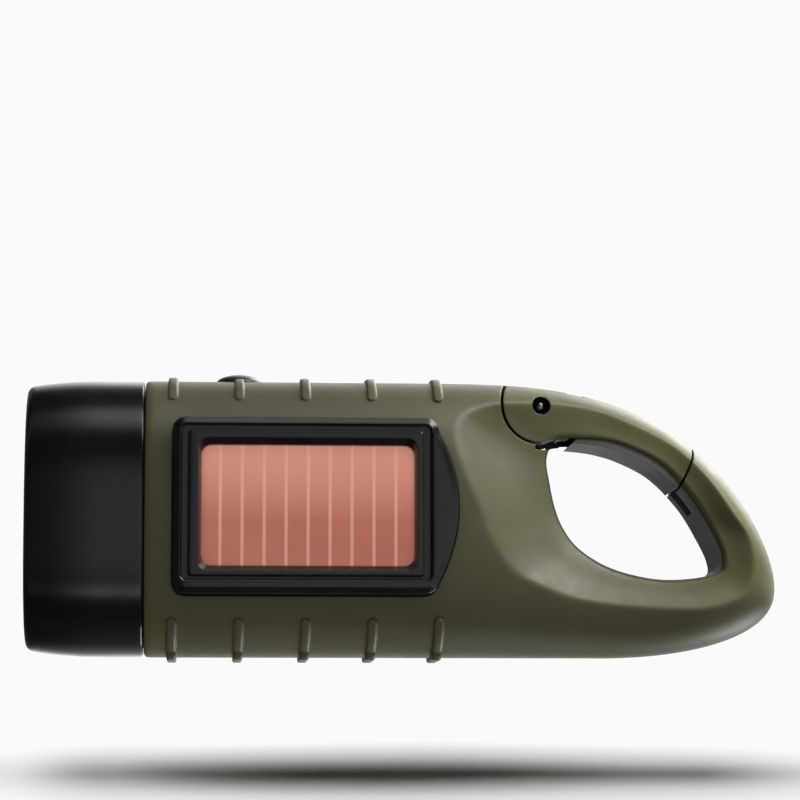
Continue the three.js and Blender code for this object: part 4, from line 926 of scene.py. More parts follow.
class Effects:
    """The groups that several finishes place: grain, edge wear, dust, painted shade in deep hollows and fine
    scratches.
    """

    EDGE_RADIUS = 0.00035
    WORN_BEND = (0.995, 0.86)
    NOOK_REACH = 0.002
    # Reach of the ambient occlusion that paints shade into hollows.
    PAINTED_SHADE_REACH = 0.005
    SCRATCH_TURNS = ((0.5, 3.0), (-0.9, 11.0))
    SCRATCH_STRETCH = (60.0, 900.0, 1600.0)

    def __init__(self) -> None:
        """Build each group once."""
        self.grain = self.build_grain()
        self.edges = self.build_edges()
        self.dust = self.build_dust_and_painted_shade()
        self.scratches = self.build_scratches()

    @staticmethod
    def group(name: str, inputs: dict[str, float],
              outputs: dict[str, str]) -> tuple[NodeSheet, bpy.types.Node, bpy.types.Node]:
        """A new group with named sockets.

        Args:
            name: the group's name.
            inputs: names and starting values of its numbers.
            outputs: names and socket types of what it puts out.

        Returns:
            The group's sheet, its input node and its output node.
        """
        tree = bpy.data.node_groups.new(name, "ShaderNodeTree")
        for key, value in inputs.items():
            socket = tree.interface.new_socket(key, in_out="INPUT", socket_type="NodeSocketFloat")
            socket.default_value = value
        for key, kind in outputs.items():
            tree.interface.new_socket(key, in_out="OUTPUT", socket_type=kind)
        sheet = NodeSheet(tree)
        return sheet, sheet.add("NodeGroupInput"), sheet.add("NodeGroupOutput")

    def build_grain(self) -> Tree:
        """Moulded texture: fine pits, slow tone changes and uneven gloss.

        Returns:
            The group.
        """
        sheet, given, out = self.group(
            "moulded_grain", {"Pit Scale": 3000.0, "Tone Scale": 60.0},
            {"Height": "NodeSocketFloat", "Tone": "NodeSocketFloat", "Gloss": "NodeSocketFloat"})
        place = sheet.place()
        pits = sheet.add("ShaderNodeTexNoise", Vector=place, Scale=given.outputs["Pit Scale"],
                         Detail=2.0, Roughness=0.55)
        cells = sheet.add("ShaderNodeTexVoronoi", Vector=place,
                          Scale=sheet.maths("MULTIPLY", given.outputs["Pit Scale"], 0.7))
        tone = sheet.add("ShaderNodeTexNoise", Vector=place, Scale=given.outputs["Tone Scale"],
                         Detail=4.0, Roughness=0.6)
        streak = sheet.add("ShaderNodeTexNoise", Vector=place,
                           Scale=sheet.maths("MULTIPLY", given.outputs["Tone Scale"], 6.0), Detail=3.0)
        height = sheet.maths("ADD", pits.outputs[0], sheet.maths("MULTIPLY", cells.outputs[0], 0.5))
        sheet.feed(out, "Height", height)
        sheet.feed(out, "Tone", tone.outputs[0])
        sheet.feed(out, "Gloss", sheet.between(streak.outputs[0], 0.3, 0.7))
        return sheet.tree

    def build_edges(self) -> Tree:
        """Rounded edges: a softened normal and a mask where an edge is worn.

        Returns:
            The group.
        """
        sheet, given, out = self.group(
            "soft_edges", {"Wear Scale": 500.0}, {"Mask": "NodeSocketFloat", "Normal": "NodeSocketVector"})
        soft = sheet.add("ShaderNodeBevel", {"samples": 4}, Radius=self.EDGE_RADIUS)
        flat = sheet.add("ShaderNodeNewGeometry").outputs["Normal"]
        turn = sheet.add("ShaderNodeVectorMath", {"operation": "DOT_PRODUCT"})
        sheet.feed(turn, "i0", soft.outputs[0])
        sheet.feed(turn, "i1", flat)
        bend = sheet.between(turn.outputs["Value"], *self.WORN_BEND)
        place = sheet.place()
        noise = sheet.add("ShaderNodeTexNoise", Vector=place, Scale=given.outputs["Wear Scale"],
                          Detail=4.0)
        sheet.feed(out, "Mask", sheet.maths("MULTIPLY", bend, sheet.between(noise.outputs[0], 0.4, 0.65)))
        sheet.feed(out, "Normal", soft.outputs[0])
        return sheet.tree

    def build_dust_and_painted_shade(self) -> Tree:
        """Dust and painted shade: a dust mask on faces that look up, and a painted shade mask for deep
        hollows.

        Returns:
            The group.
        """
        sheet, given, out = self.group(
            "dust_and_painted_shade", {"Amount": 0.3}, {"Mask": "NodeSocketFloat", "Deep": "NodeSocketFloat"})
        corner = sheet.add("ShaderNodeAmbientOcclusion", {"samples": 4}, Distance=self.NOOK_REACH)
        facing = sheet.split(sheet.add("ShaderNodeNewGeometry").outputs["Normal"])
        place = sheet.place()
        specks = sheet.add("ShaderNodeTexNoise", Vector=place, Scale=1400.0, Detail=5.0)
        up = sheet.between(facing[2], 0.2, 1.0, 0.0, 0.35)
        nook = sheet.between(corner.outputs["AO"], 0.75, 0.2)
        both = sheet.maths("MULTIPLY", sheet.maths("ADD", up, nook, clamp=True),
                           sheet.between(specks.outputs[0], 0.45, 0.7))
        # Painted shade: ambient occlusion darkens deep hollows and recesses, where shade falls.
        hollow = sheet.add("ShaderNodeAmbientOcclusion", {"samples": 6}, Distance=self.PAINTED_SHADE_REACH)
        sheet.feed(out, "Mask", sheet.maths("MULTIPLY", both, given.outputs["Amount"]))
        sheet.feed(out, "Deep", sheet.between(hollow.outputs["AO"], 0.62, 0.3, 0.0, 0.92))
        return sheet.tree

    def build_scratches(self) -> Tree:
        """Fine scratches: a mask of thin lines in two directions.

        Returns:
            The group.
        """
        sheet, given, out = self.group("fine_scratches", {"Amount": 0.3}, {"Mask": "NodeSocketFloat"})
        place = sheet.place()
        marks = []
        for turn, start in self.SCRATCH_TURNS:
            mapping = sheet.add("ShaderNodeMapping", Vector=place, Location=(start, start, start),
                                Rotation=(0.2, turn, 0.1), Scale=self.SCRATCH_STRETCH)
            noise = sheet.add("ShaderNodeTexNoise", Vector=mapping.outputs[0], Scale=1.0, Detail=2.0)
            marks.append(sheet.between(noise.outputs[0], 0.68, 0.74))
        both = sheet.maths("MAXIMUM", *marks)
        sheet.feed(out, "Mask", sheet.maths("MULTIPLY", both, given.outputs["Amount"]))
        return sheet.tree


# Finishes


def tint(red: int, green: int, blue: int) -> Colour:
    """A display colour of 0 to 255 as the linear colour that a shader takes.

    Args:
        red: its red.
        green: its green.
        blue: its blue.

    Returns:
        Red, green, blue and a full alpha.
    """
    parts = [(c / 255 / 12.92) if c <= 10 else ((c / 255 + 0.055) / 1.055) ** 2.4
             for c in (red, green, blue)]
    return parts[0], parts[1], parts[2], 1.0


@dataclass(frozen=True)
class Finish:
    """A moulded, rolled or turned finish with grain, wear, dust, scratches and painted shade in deep hollows.
    """

    name: str
    base: Colour
    second: Colour
    worn: Colour
    dusty: Colour = field(default_factory=lambda: tint(150, 146, 134))
    # Near-black colour of the painted shade in deep hollows.
    painted_shade_colour: Colour = field(default_factory=lambda: tint(12, 12, 10))
    roughness: float = 0.5
    uneven: float = 0.08
    metallic: float = 0.0
    coat: float = 0.0
    coat_roughness: float = 0.1
    specular: float = 0.5
    pit_scale: float = 3000.0
    pit_depth: float = 0.12
    tone_scale: float = 60.0
    wear: float = 0.3
    dust: float = 0.25
    scratch: float = 0.2
    dust_dulls: float = 0.4
    scratch_dulls: float = 0.15
    bump_reach: float = 0.0001

    def build(self, effects: Effects) -> bpy.types.Material:
        """Make the material.

        Args:
            effects: the shared groups.

        Returns:
            The material, ready to assign.
        """
        material = bpy.data.materials.new(self.name)
        material.use_nodes = True
        material.diffuse_color = self.base
        sheet = NodeSheet(material.node_tree)
        grain = sheet.add("ShaderNodeGroup", {"node_tree": effects.grain}, Pit_Scale=self.pit_scale,
                          Tone_Scale=self.tone_scale)
        edges = sheet.add("ShaderNodeGroup", {"node_tree": effects.edges})
        # Dust, and painted shade in deep hollows.
        dust = sheet.add("ShaderNodeGroup", {"node_tree": effects.dust}, Amount=self.dust)
        marks = sheet.add("ShaderNodeGroup", {"node_tree": effects.scratches}, Amount=self.scratch)
        colour = self.colour(sheet, grain)
        colour = sheet.blend(sheet.maths("MULTIPLY", edges.outputs["Mask"], self.wear), colour, self.worn)
        colour = sheet.blend(marks.outputs["Mask"], colour, self.worn)
        colour = sheet.blend(dust.outputs["Mask"], colour, self.dusty)
        # Painted shade: deep hollows are blended towards a near-black colour.
        colour = sheet.blend(dust.outputs["Deep"], colour, self.painted_shade_colour)
        rough = sheet.maths("MULTIPLY_ADD", grain.outputs["Gloss"], self.uneven,
                            self.roughness - self.uneven / 2)
        rough = sheet.maths("MULTIPLY_ADD", dust.outputs["Mask"], self.dust_dulls, rough)
        rough = sheet.maths("MULTIPLY_ADD", marks.outputs["Mask"], self.scratch_dulls, rough, clamp=True)
        shader = sheet.add("ShaderNodeBsdfPrincipled", Base_Color=colour, Roughness=rough,
                           Metallic=self.metallic, Specular_IOR_Level=self.specular,
                           Coat_Weight=self.coat, Coat_Roughness=self.coat_roughness)
        bump = sheet.add("ShaderNodeBump", Strength=self.pit_depth, Distance=self.bump_reach,
                         Height=self.height(sheet, grain), Normal=edges.outputs["Normal"])
        sheet.feed(shader, "Coat Normal", edges.outputs["Normal"])
        sheet.feed(shader, "Normal", bump.outputs[0])
        self.extra(sheet, shader)
        sheet.add("ShaderNodeOutputMaterial", Surface=shader.outputs[0])
        return material

    def colour(self, sheet: NodeSheet, grain: bpy.types.Node) -> Socket:
        """The base colour before wear and dust."""
        return sheet.blend(sheet.between(grain.outputs["Tone"], 0.35, 0.65), self.base, self.second)

    def height(self, sheet: NodeSheet, grain: bpy.types.Node) -> Socket:
        """The height that the bump reads."""
        return grain.outputs["Height"]

    def extra(self, sheet: NodeSheet, shader: bpy.types.Node) -> None:
        """Further sockets of one finish; none here."""


@dataclass(frozen=True)
class SolarFilm(Finish):
    """Copper-red film with thin lighter conductor lines, and painted shade that darkens it towards its foot.
    """

    line: Colour = field(default_factory=lambda: tint(236, 172, 152))
    line_start_x: float = -32.02
    line_pitch: float = 3.8225
    line_half: float = 0.26
    line_edge_shares: Pair = (1.5, 0.6)
    line_strength: float = 0.55
    # Painted shade: between these two heights the film goes from base down to the darker lower colour.
    film_painted_shade_span: Pair = (-1.5, 9.5)
    lower: Colour = field(default_factory=lambda: tint(172, 95, 77))

    def lines(self, sheet: NodeSheet) -> Socket:
        """Mask of the conductor lines along the film.

        Args:
            sheet: the material's sheet.

        Returns:
            The mask's socket.
        """
        x = sheet.split(sheet.place())[0]
        start = (self.line_start_x + float(SHIFT[0])) * MM
        along = sheet.maths("DIVIDE", sheet.maths("SUBTRACT", x, start), self.line_pitch * MM)
        beside = sheet.maths("ABSOLUTE", sheet.maths("SUBTRACT", along, sheet.maths("ROUND", along)))
        half = self.line_half / self.line_pitch
        return sheet.between(beside, *(half * share for share in self.line_edge_shares))

    def colour(self, sheet: NodeSheet, grain: bpy.types.Node) -> Socket:
        """Film colour darkened towards its foot as painted shade, crossed by the lines.

        Args:
            sheet: the material's sheet.
            grain: the placed grain group.

        Returns:
            The colour's socket.
        """
        # Painted shade: the film is blended towards a darker red lower down.
        low, high = ((float(SHIFT[2]) + z) * MM for z in self.film_painted_shade_span)
        tone = sheet.between(sheet.split(sheet.place())[2], low, high)
        body = sheet.blend(tone, self.lower, self.base)
        body = sheet.blend(sheet.between(grain.outputs["Tone"], 0.3, 0.9, 0.0, 0.5), body, self.second)
        return sheet.blend(sheet.maths("MULTIPLY", self.lines(sheet), self.line_strength), body, self.line)


@dataclass(frozen=True)
class ClearSheet(Finish):
    """Clear moulded plastic."""

    def extra(self, sheet: NodeSheet, shader: bpy.types.Node) -> None:
        """Let light through."""
        shader.inputs["Transmission Weight"].default_value = 1.0
        shader.inputs["IOR"].default_value = 1.49


@dataclass(frozen=True)
class Board(Finish):
    """Green lamp or control board with pads."""

    pad: Colour = field(default_factory=lambda: tint(196, 178, 120))

    def colour(self, sheet: NodeSheet, grain: bpy.types.Node) -> Socket:
        """Green lacquer with small tinned pads.

        Args:
            sheet: the material's sheet.
            grain: the placed grain group.

        Returns:
            The colour's socket.
        """
        place = sheet.place()
        cells = sheet.add("ShaderNodeTexVoronoi", {"feature": "F1"}, Vector=place, Scale=280.0,
                          Randomness=0.15)
        dots = sheet.between(cells.outputs[0], 0.22, 0.18)
        lacquer = sheet.blend(grain.outputs["Tone"], self.base, self.second)
        return sheet.blend(dots, lacquer, self.pad)


@dataclass(frozen=True)
class Winding(Finish):
    """Enamelled wire laid in turns."""

    def height(self, sheet: NodeSheet, grain: bpy.types.Node) -> Socket:
        """Ridges of the turns.

        Args:
            sheet: the material's sheet.
            grain: the placed grain group.

        Returns:
            The height's socket.
        """
        place = sheet.place()
        wave = sheet.add("ShaderNodeTexWave", {"bands_direction": "Y"}, Vector=place, Scale=420.0)
        return sheet.maths("MULTIPLY_ADD", wave.outputs[1], 2.0, grain.outputs["Height"])


class Palette:
    """Every finish by the slot of the record that it dresses."""

    def __init__(self, effects: Effects) -> None:
        """Build one material for each slot from the shared groups."""
        self.slots = {finish.name: finish.build(effects) for finish in self.finishes()}

    @staticmethod
    def finishes() -> list[Finish]:
        """The finishes and their values.

        Returns:
            One finish for each slot, named after it.
        """
        black = {"base": tint(12, 12, 13), "second": tint(16, 16, 17), "worn": tint(52, 52, 52)}
        steel = {"base": tint(176, 178, 180), "second": tint(158, 160, 163), "worn": tint(215, 216, 217)}
        return [
            Finish("olive_shell", tint(61, 60, 36), tint(56, 55, 32), tint(96, 95, 68),
                   roughness=0.46, uneven=0.08, pit_scale=2600.0, pit_depth=0.1,
                   wear=0.35, dust=0.12, scratch=0.1),
            Finish("black_shell", **black, roughness=0.16, uneven=0.05, pit_scale=4200.0,
                   pit_depth=0.03, wear=0.3, dust=0.05, scratch=0.08),
            Finish("black_crank", **black, roughness=0.42, pit_scale=2600.0,
                   pit_depth=0.12, wear=0.4, dust=0.16, scratch=0.3),
            Finish("grey_liner", tint(68, 67, 63), tint(62, 61, 57), tint(96, 95, 90),
                   roughness=0.55, pit_scale=2600.0, pit_depth=0.12, dust=0.16),
            ClearSheet("clear_lens", tint(246, 249, 250), tint(240, 244, 246),
                       tint(225, 228, 230), roughness=0.05, uneven=0.03, dust=0.02,
                       scratch=0.05, wear=0.05, pit_depth=0.01),
            Finish("mirror_coat", tint(225, 226, 228), tint(214, 215, 218),
                   tint(190, 190, 190), roughness=0.12, uneven=0.05, metallic=1.0,
                   pit_depth=0.02, dust=0.03, scratch=0.06),
            Finish("led_resin", tint(238, 238, 222), tint(228, 226, 196),
                   tint(240, 240, 230), roughness=0.14, uneven=0.05, coat=0.6,
                   pit_depth=0.02, dust=0.03, tone_scale=300.0),
            Board("board_green", tint(38, 96, 54), tint(30, 82, 46), tint(120, 150, 110),
                  roughness=0.4, dust=0.1),
            SolarFilm("solar_film", tint(226, 152, 130), tint(206, 128, 106),
                      tint(214, 150, 132), roughness=0.42, uneven=0.1, coat=0.35,
                      coat_roughness=0.12, pit_scale=5200.0, pit_depth=0.05,
                      dust=0.05, scratch=0.06, wear=0.1),
            Finish("foam", tint(52, 52, 52), tint(44, 44, 44), tint(70, 70, 70),
                   roughness=0.95, pit_scale=1500.0, pit_depth=0.6, dust=0.2),
            Finish("button_rubber", tint(14, 14, 15), tint(19, 19, 20),
                   tint(52, 52, 52), roughness=0.38, pit_scale=2600.0,
                   pit_depth=0.06, dust=0.1, scratch=0.05),
            Finish("bright_steel", **steel, roughness=0.24, metallic=1.0,
                   pit_scale=3600.0, pit_depth=0.05, scratch=0.4, dust=0.06),
            Finish("dark_steel", tint(92, 94, 98), tint(80, 82, 86), tint(150, 152, 154),
                   roughness=0.34, metallic=1.0, pit_depth=0.08, scratch=0.4, dust=0.1),
            Finish("battery_wrap", tint(48, 112, 156), tint(42, 100, 142),
                   tint(120, 160, 190), roughness=0.32, coat=0.4, pit_depth=0.05),
            Winding("copper_wire", tint(184, 106, 62), tint(164, 88, 50),
                    tint(214, 150, 110), roughness=0.3, metallic=1.0, pit_depth=0.4),
            Finish("white_nylon", tint(226, 223, 210), tint(216, 212, 198),
                   tint(236, 234, 226), roughness=0.5, pit_scale=2400.0,
                   pit_depth=0.15, dust=0.12),
            Finish("brass", tint(190, 160, 92), tint(176, 146, 80), tint(222, 200, 140),
                   roughness=0.3, metallic=1.0, pit_depth=0.06, scratch=0.35),
        ]

    def dress(self, thing: Thing, slot: str) -> None:
        """Give an object one slot's material and nothing else."""
        thing.data.materials.clear()
        thing.data.materials.append(self.slots[slot])

    def dress_solids(self) -> None:
        """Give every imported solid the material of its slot."""
        for part in frame["record"]["subparts"]:
            solid = frame["nodes"][part["node"]]
            for place in range(len(solid.material_slots)):
                solid.material_slots[place].material = self.slots[part["material_slot"]]


# Sub-assemblies


@dataclass
class Assembly:
    """What every sub-assembly shares: the palette and the way that a piece is finished."""

    palette: Palette

    def settle(self, thing: Thing, body: str, slot: str, *nodes: str,
               smooth_deg: float = 28.0) -> Thing:
        """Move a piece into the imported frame, dress it and say what it stands for.

        Args:
            thing: the finished solid, in millimetres from the barrel's axis.
            body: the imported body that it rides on.
            slot: the record's slot that it is dressed from.
            nodes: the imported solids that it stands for.
            smooth_deg: edges sharper than this stay sharp.

        Returns:
            The piece.
        """
        mesh = thing.data
        move_points(mesh, lambda places: (places + SHIFT) * MM)
        mesh.polygons.foreach_set("use_smooth", [True] * len(mesh.polygons))
        mesh.set_sharp_from_angle(angle=math.radians(smooth_deg))
        mesh.update()
        self.palette.dress(thing, slot)
        if nodes:
            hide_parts(*nodes)
        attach(thing, body)
        LOG.info("%s: %d faces, rides %s", thing.name, len(mesh.polygons), body)
        return thing


@dataclass
class Case(Assembly):
    """The two olive halves with their ribs, hinge knuckle, latch slot and screw seats."""

    rib_xs: tuple[float, ...] = (-40.4, -28.7, -17.0, -5.3, 6.4)
    rib_half_width: float = 0.85
    rib_height: float = 0.7
    rib_top_z: float = 20.0
    rib_bottom_z: float = -18.2
    rib_root: float = 1.0
    rib_corner: float = 0.42
    rib_end_share: float = 0.5
    rib_tip_share: float = 0.04
    rib_samples: int = 900
    rib_stations: int = 90
    foot_half_width: float = 8.0
    foot_root: float = 3.0
    foot_round: float = 0.4
    foot_corner: float = 1.6
    rib_fade: float = 7.0
    front_edge: tuple[Pair, ...] = ((0.0, 0.55), (0.16, 0.22), (0.5, 0.04))
    front_edge_end: float = 1.6
    straight_stations: int = 30
    tip_share: float = 0.9997
    flare_share: float = 1.3
    button_room: float = 6.2
    wire_hole: float = 1.5
    facet_y: float = 14.8
    panel_floor_y: float = -12.0
    neck_length: float = 4.1
    neck_wall: float = 1.4
    bulkhead: float = 1.5
    knuckle_radius: float = 5.8
    knuckle_neck: float = 4.6
    spring_pocket: Pair = (4.3, 2.1)
    screw_places: tuple[Pair, ...] = (
        (-41.0, 15.498), (-41.0, -15.498), (25.0, -18.598), (57.0, -15.006))
    screw_seat_y: float = 5.92
    screw_head: float = 2.3
    screw_radius: float = 1.0
    screw_length: float = 12.0
    boss_radius: float = 3.0
    bush_radius: float = 4.7
    hollow_start: float = 4.0
    hollow_taper: float = 12.0
    hollow_end: float = 20.0
    hollow_stations: int = 12

    def outer(self) -> Thing:
        """The barrel and tail with the flare's slope, before any hole.

        Returns:
            The closed block.
        """
        straight = np.linspace(BARREL.front_x + self.front_edge_end, 0, self.straight_stations)
        steps = np.linspace(0, 1, BARREL.tail_stations + 1)[1:]
        closer = (np.sin(math.pi / 2 * steps) + steps) / 2
        tail = BARREL.tip_x * np.minimum(closer, self.tip_share)
        rings = [BARREL.ring(BARREL.front_x + run, inset) for run, inset in self.front_edge]
        rings += [BARREL.ring(float(x)) for x in (*straight, *tail)]
        block = loft("outer", rings)
        move_points(block.data, self.flared)
        return block

    def flared(self, places: np.ndarray) -> np.ndarray:
        """Draw points in to the flare round the loop's opening.

        Args:
            places: points of the outer form, one row each.

        Returns:
            The same points, none of them outside the flare.
        """
        flare = LOOP.flare(places[:, 0], places[:, 2], BARREL)
        depth = np.abs(places[:, 1])
        near = places[:, 0] > LOOP.centre[0] - LOOP.ridge_reach * self.flare_share
        depth = np.where(near & (depth > SLIVER), soft_min(depth, flare, LOOP.crease), depth)
        places[:, 1] = np.sign(places[:, 1]) * depth
        return places

    def rib(self, x: float, sign: int) -> Thing:
        """One rounded rib over the top or under the bottom.

        Args:
            x: its place along the barrel.
            sign: 1 for a top rib, -1 for a bottom one.

        Returns:
            The rib, rooted in the skin.
        """
        line = BARREL.oval(BARREL.half_depth, BARREL.half_height, self.rib_samples)
        end_z = self.rib_top_z if sign > 0 else -self.rib_bottom_z
        path = line[line[:, 1] * sign > end_z - SLIVER]
        path = path[np.argsort(path[:, 0])]
        ahead = np.gradient(path, axis=0)
        ahead /= np.linalg.norm(ahead, axis=1, keepdims=True)
        out = np.column_stack([-ahead[:, 1], ahead[:, 0]])
        out *= np.sign(np.sum(out * path, axis=1, keepdims=True))
        steps = np.concatenate([[0], np.cumsum(np.linalg.norm(np.diff(path, axis=0), axis=1))])
        total = steps[-1]
        profile = self.rib_profile()
        w, low = self.rib_half_width, self.rib_end_share
        ends = w * (1 - np.cos(np.linspace(0, math.pi / 2, EDGE_STEPS + 1)))
        middle = np.linspace(w, total - w, self.rib_stations)[1:-1]
        rings = []
        for t in np.concatenate([ends, middle, total - ends[::-1]]):
            at = np.array([np.interp(t, steps, path[:, i]) for i in (0, 1)])
            normal = np.array([np.interp(t, steps, out[:, i]) for i in (0, 1)])
            inner = min(t, total - t)
            swell = math.sqrt(max(1 - (1 - min(inner / w, 1)) ** 2, self.rib_tip_share ** 2))
            rise = swell * (low + (1 - low) * ease(min(inner / self.rib_fade, 1)))
            ring = [(x + u * swell, *(at + normal * (v * rise if v > 0 else v))) for u, v in profile]
            rings.append(np.array(ring))
        return loft("rib", rings)

    def rib_profile(self) -> list[Pair]:
        """Section of a rib, from root to root over its rounded crown.

        Returns:
            Places across the rib and heights over the skin.
        """
        w, r = self.rib_half_width, self.rib_corner
        high = self.rib_height - r
        turns = arc_points(0, 90, EDGE_STEPS - 1)
        left = [(-w + r - r * c, high + r * s) for c, s in turns]
        right = [(w - r + r * s, high + r * c) for c, s in turns]
        return [(-w, -self.rib_root), *left, *right, (w, -self.rib_root)]

    def foot(self, x: float) -> Thing:
        """The foot under a bottom rib, all its edges rounded.

        Args:
            x: its place along the barrel.

        Returns:
            The foot, rooted in the skin.
        """
        low = -BARREL.half_height - self.rib_height
        w, r = self.rib_half_width, self.foot_round
        rings = []
        q = self.foot_corner
        steps = [(-w + r - r * c, r - r * s) for c, s in arc_points(0, 90, EDGE_STEPS)]
        for dx, inset in [*steps, *[(-dx, inset) for dx, inset in reversed(steps)]]:
            half, base = self.foot_half_width - inset, low + inset
            line = [(half, low + self.foot_root)]
            line += [(half - q + q * c, base + q - q * s) for c, s in arc_points(0, 90, CORNER_STEPS)]
            line += [(-half + q - q * s, base + q - q * c) for c, s in arc_points(0, 90, CORNER_STEPS)]
            line += [(-half, low + self.foot_root)]
            rings.append(np.array([(x + dx, y, z) for y, z in line]))
        return loft("foot", rings)

    def hollow(self) -> Thing:
        """The room inside the barrel.

        Returns:
            The cutter.
        """
        high, deep = BARREL.half_height - WALL, BARREL.half_depth - WALL
        rings = []
        places = np.linspace(self.hollow_start, self.hollow_end, self.hollow_stations)
        for x in (BARREL.front_x + self.bulkhead, *places):
            share = max(x - self.hollow_taper, 0) / (self.hollow_end - self.hollow_taper)
            line = BARREL.oval(deep, high - WALL * share, ROUND_SIDES)
            along = np.full(ROUND_SIDES, x)
            if x > 0:
                limit = LOOP.flare(along, line[:, 1], BARREL) - WALL
                line[:, 0] = np.sign(line[:, 0]) * np.minimum(np.abs(line[:, 0]), limit)
            rings.append(np.column_stack([along, line]))
        limits = slab("limits", (-FAR, self.panel_floor_y, -FAR), (self.hollow_end, self.facet_y - WALL, FAR))
        return act(loft("hollow", rings), Cut.KEEP, [limits])

    def neck(self) -> tuple[Thing, Thing]:
        """The spigot that enters the head, and its bore.

        Returns:
            The spigot and the bore, both filled.
        """
        high = BARREL.half_height - LampHead.wall - CLEARANCE
        deep = BARREL.half_depth - LampHead.wall - CLEARANCE
        start, end = BARREL.front_x - self.neck_length, BARREL.front_x + self.bulkhead
        spigot = BARREL.tube("neck", start, end, deep, high)
        bore = BARREL.tube("bore", start - self.bulkhead, end + self.bulkhead,
                           deep - self.neck_wall, high - self.neck_wall)
        return spigot, bore

    def knuckle(self, outer: Thing) -> Thing:
        """The hinge knuckle between the fork's cheeks.

        Args:
            outer: the outer form, which limits it.

        Returns:
            The knuckle with its pocket and hole.
        """
        half = GATE.fork_half_gap - CLEARANCE
        x, z = GATE.pin
        disc = bar("knuckle", GATE.pin, self.knuckle_radius, -half, half, ROUND_SIDES)
        stem = slab("stem", (x - GATE.disc - 2 * WALL, -half, z - self.knuckle_neck),
                    (x, half, z + self.knuckle_neck))
        pocket_radius, pocket_half = self.spring_pocket
        act(disc, Cut.JOIN, [stem])
        act(disc, Cut.KEEP, [twin(outer, "outer_copy")])
        return act(disc, Cut.CARVE, [
            bar("pocket", GATE.pin, pocket_radius, -pocket_half, pocket_half),
            slab("pocket_mouth", (x, -pocket_half, z - self.knuckle_radius),
                 (x + GATE.fork_radius, pocket_half, z)),
            bar("pin_hole", GATE.pin, GATE.pin_radius + CLEARANCE, -FAR, FAR),
        ])

    def bosses(self, outer: Thing) -> Thing:
        """Columns that carry the case screws, cut to the outer form.

        Args:
            outer: the outer form.

        Returns:
            The joined columns.
        """
        columns = [bar("boss", place, self.boss_radius, -BARREL.half_depth, BARREL.half_depth)
                   for place in self.screw_places]
        act(columns[0], Cut.JOIN, columns[1:])
        return act(columns[0], Cut.KEEP, [twin(outer, "outer_copy")])

    def screw_holes(self) -> list[Thing]:
        """Counterbores and shanks of the case screws.

        Returns:
            The cutters.
        """
        holes = []
        for place in self.screw_places:
            holes.append(bar("counterbore", place, self.screw_head + CLEARANCE, self.screw_seat_y, FAR))
            holes.append(bar("shank", place, self.screw_radius + CLEARANCE,
                             self.screw_seat_y - self.screw_length - CLEARANCE, FAR))
        return holes

    def build(self) -> Thing:
        """Build both halves.

        Returns:
            The tail with its opening, from which the gate is cut.
        """
        outer = self.outer()
        mouth = LOOP.mouth("mouth", BARREL)
        tail = act(twin(outer, "tail"), Cut.CARVE, [twin(mouth, "mouth_copy")])
        spigot, bore = self.neck()
        ribs = [self.rib(x, sign) for x in self.rib_xs for sign in (1, -1)]
        ribs += [self.foot(x) for x in self.rib_xs]
        over_button = (PowerButton.x, 0)
        for thing in ribs:
            act(thing, Cut.CARVE, [bar("button_room", over_button, self.button_room, 0, FAR, axis=Axis.Z)])
        whole = act(twin(tail, "whole"), Cut.JOIN, [*ribs, spigot])
        act(whole, Cut.CARVE, [self.hollow(), bore])
        columns = act(self.bosses(outer), Cut.CARVE, [mouth])
        act(whole, Cut.JOIN, [columns])
        act(whole, Cut.CARVE, [
            GATE.region("gate_room", GATE.gap, GATE.joint_gap, LOOP), GATE.swing_room(),
            LOOP.band("liner_groove", -WALL, WALL + CLEARANCE, LOOP.groove_half),
            bar("button_hole", over_button, PowerButton.radius + CLEARANCE, 0, FAR, ROUND_SIDES, Axis.Z),
            GATE.notch("notch"), *self.screw_holes(),
        ])
        act(whole, Cut.JOIN, [self.knuckle(outer)])
        drop(outer)
        for side in Side:
            self.half(twin(whole, "half"), side)
        drop(whole)
        return tail

    def half(self, shell: Thing, side: Side) -> None:
        """Keep one half, cut what only it has, and settle it.

        Args:
            shell: a copy of the whole case.
            side: which half it becomes.
        """
        if side is Side.SOLAR:
            shell.name = "solar_half"
            act(shell, Cut.KEEP, [slab("keep", (-FAR * 2, -FAR, -FAR), (FAR * 2, -SEAM / 2, FAR))])
            pocket = SolarPanel(self.palette).outline_points(-CLEARANCE)
            act(shell, Cut.CARVE, [prism("pocket", pocket, -FAR, SolarPanel.seat_y),
                                   bar("wire_hole", (Crank.x, 0), self.wire_hole, -FAR, 0)])
            self.settle(shell, "housing", "olive_shell", "front_shell")
            return
        shell.name = "crank_half"
        act(shell, Cut.KEEP, [slab("keep", (-FAR * 2, SEAM / 2, -FAR), (FAR * 2, self.facet_y, FAR))])
        act(shell, Cut.CARVE, [bar("bush_hole", (Crank.x, 0), self.bush_radius + CLEARANCE, 0, FAR)])
        self.settle(shell, "housing", "olive_shell", "back_shell")


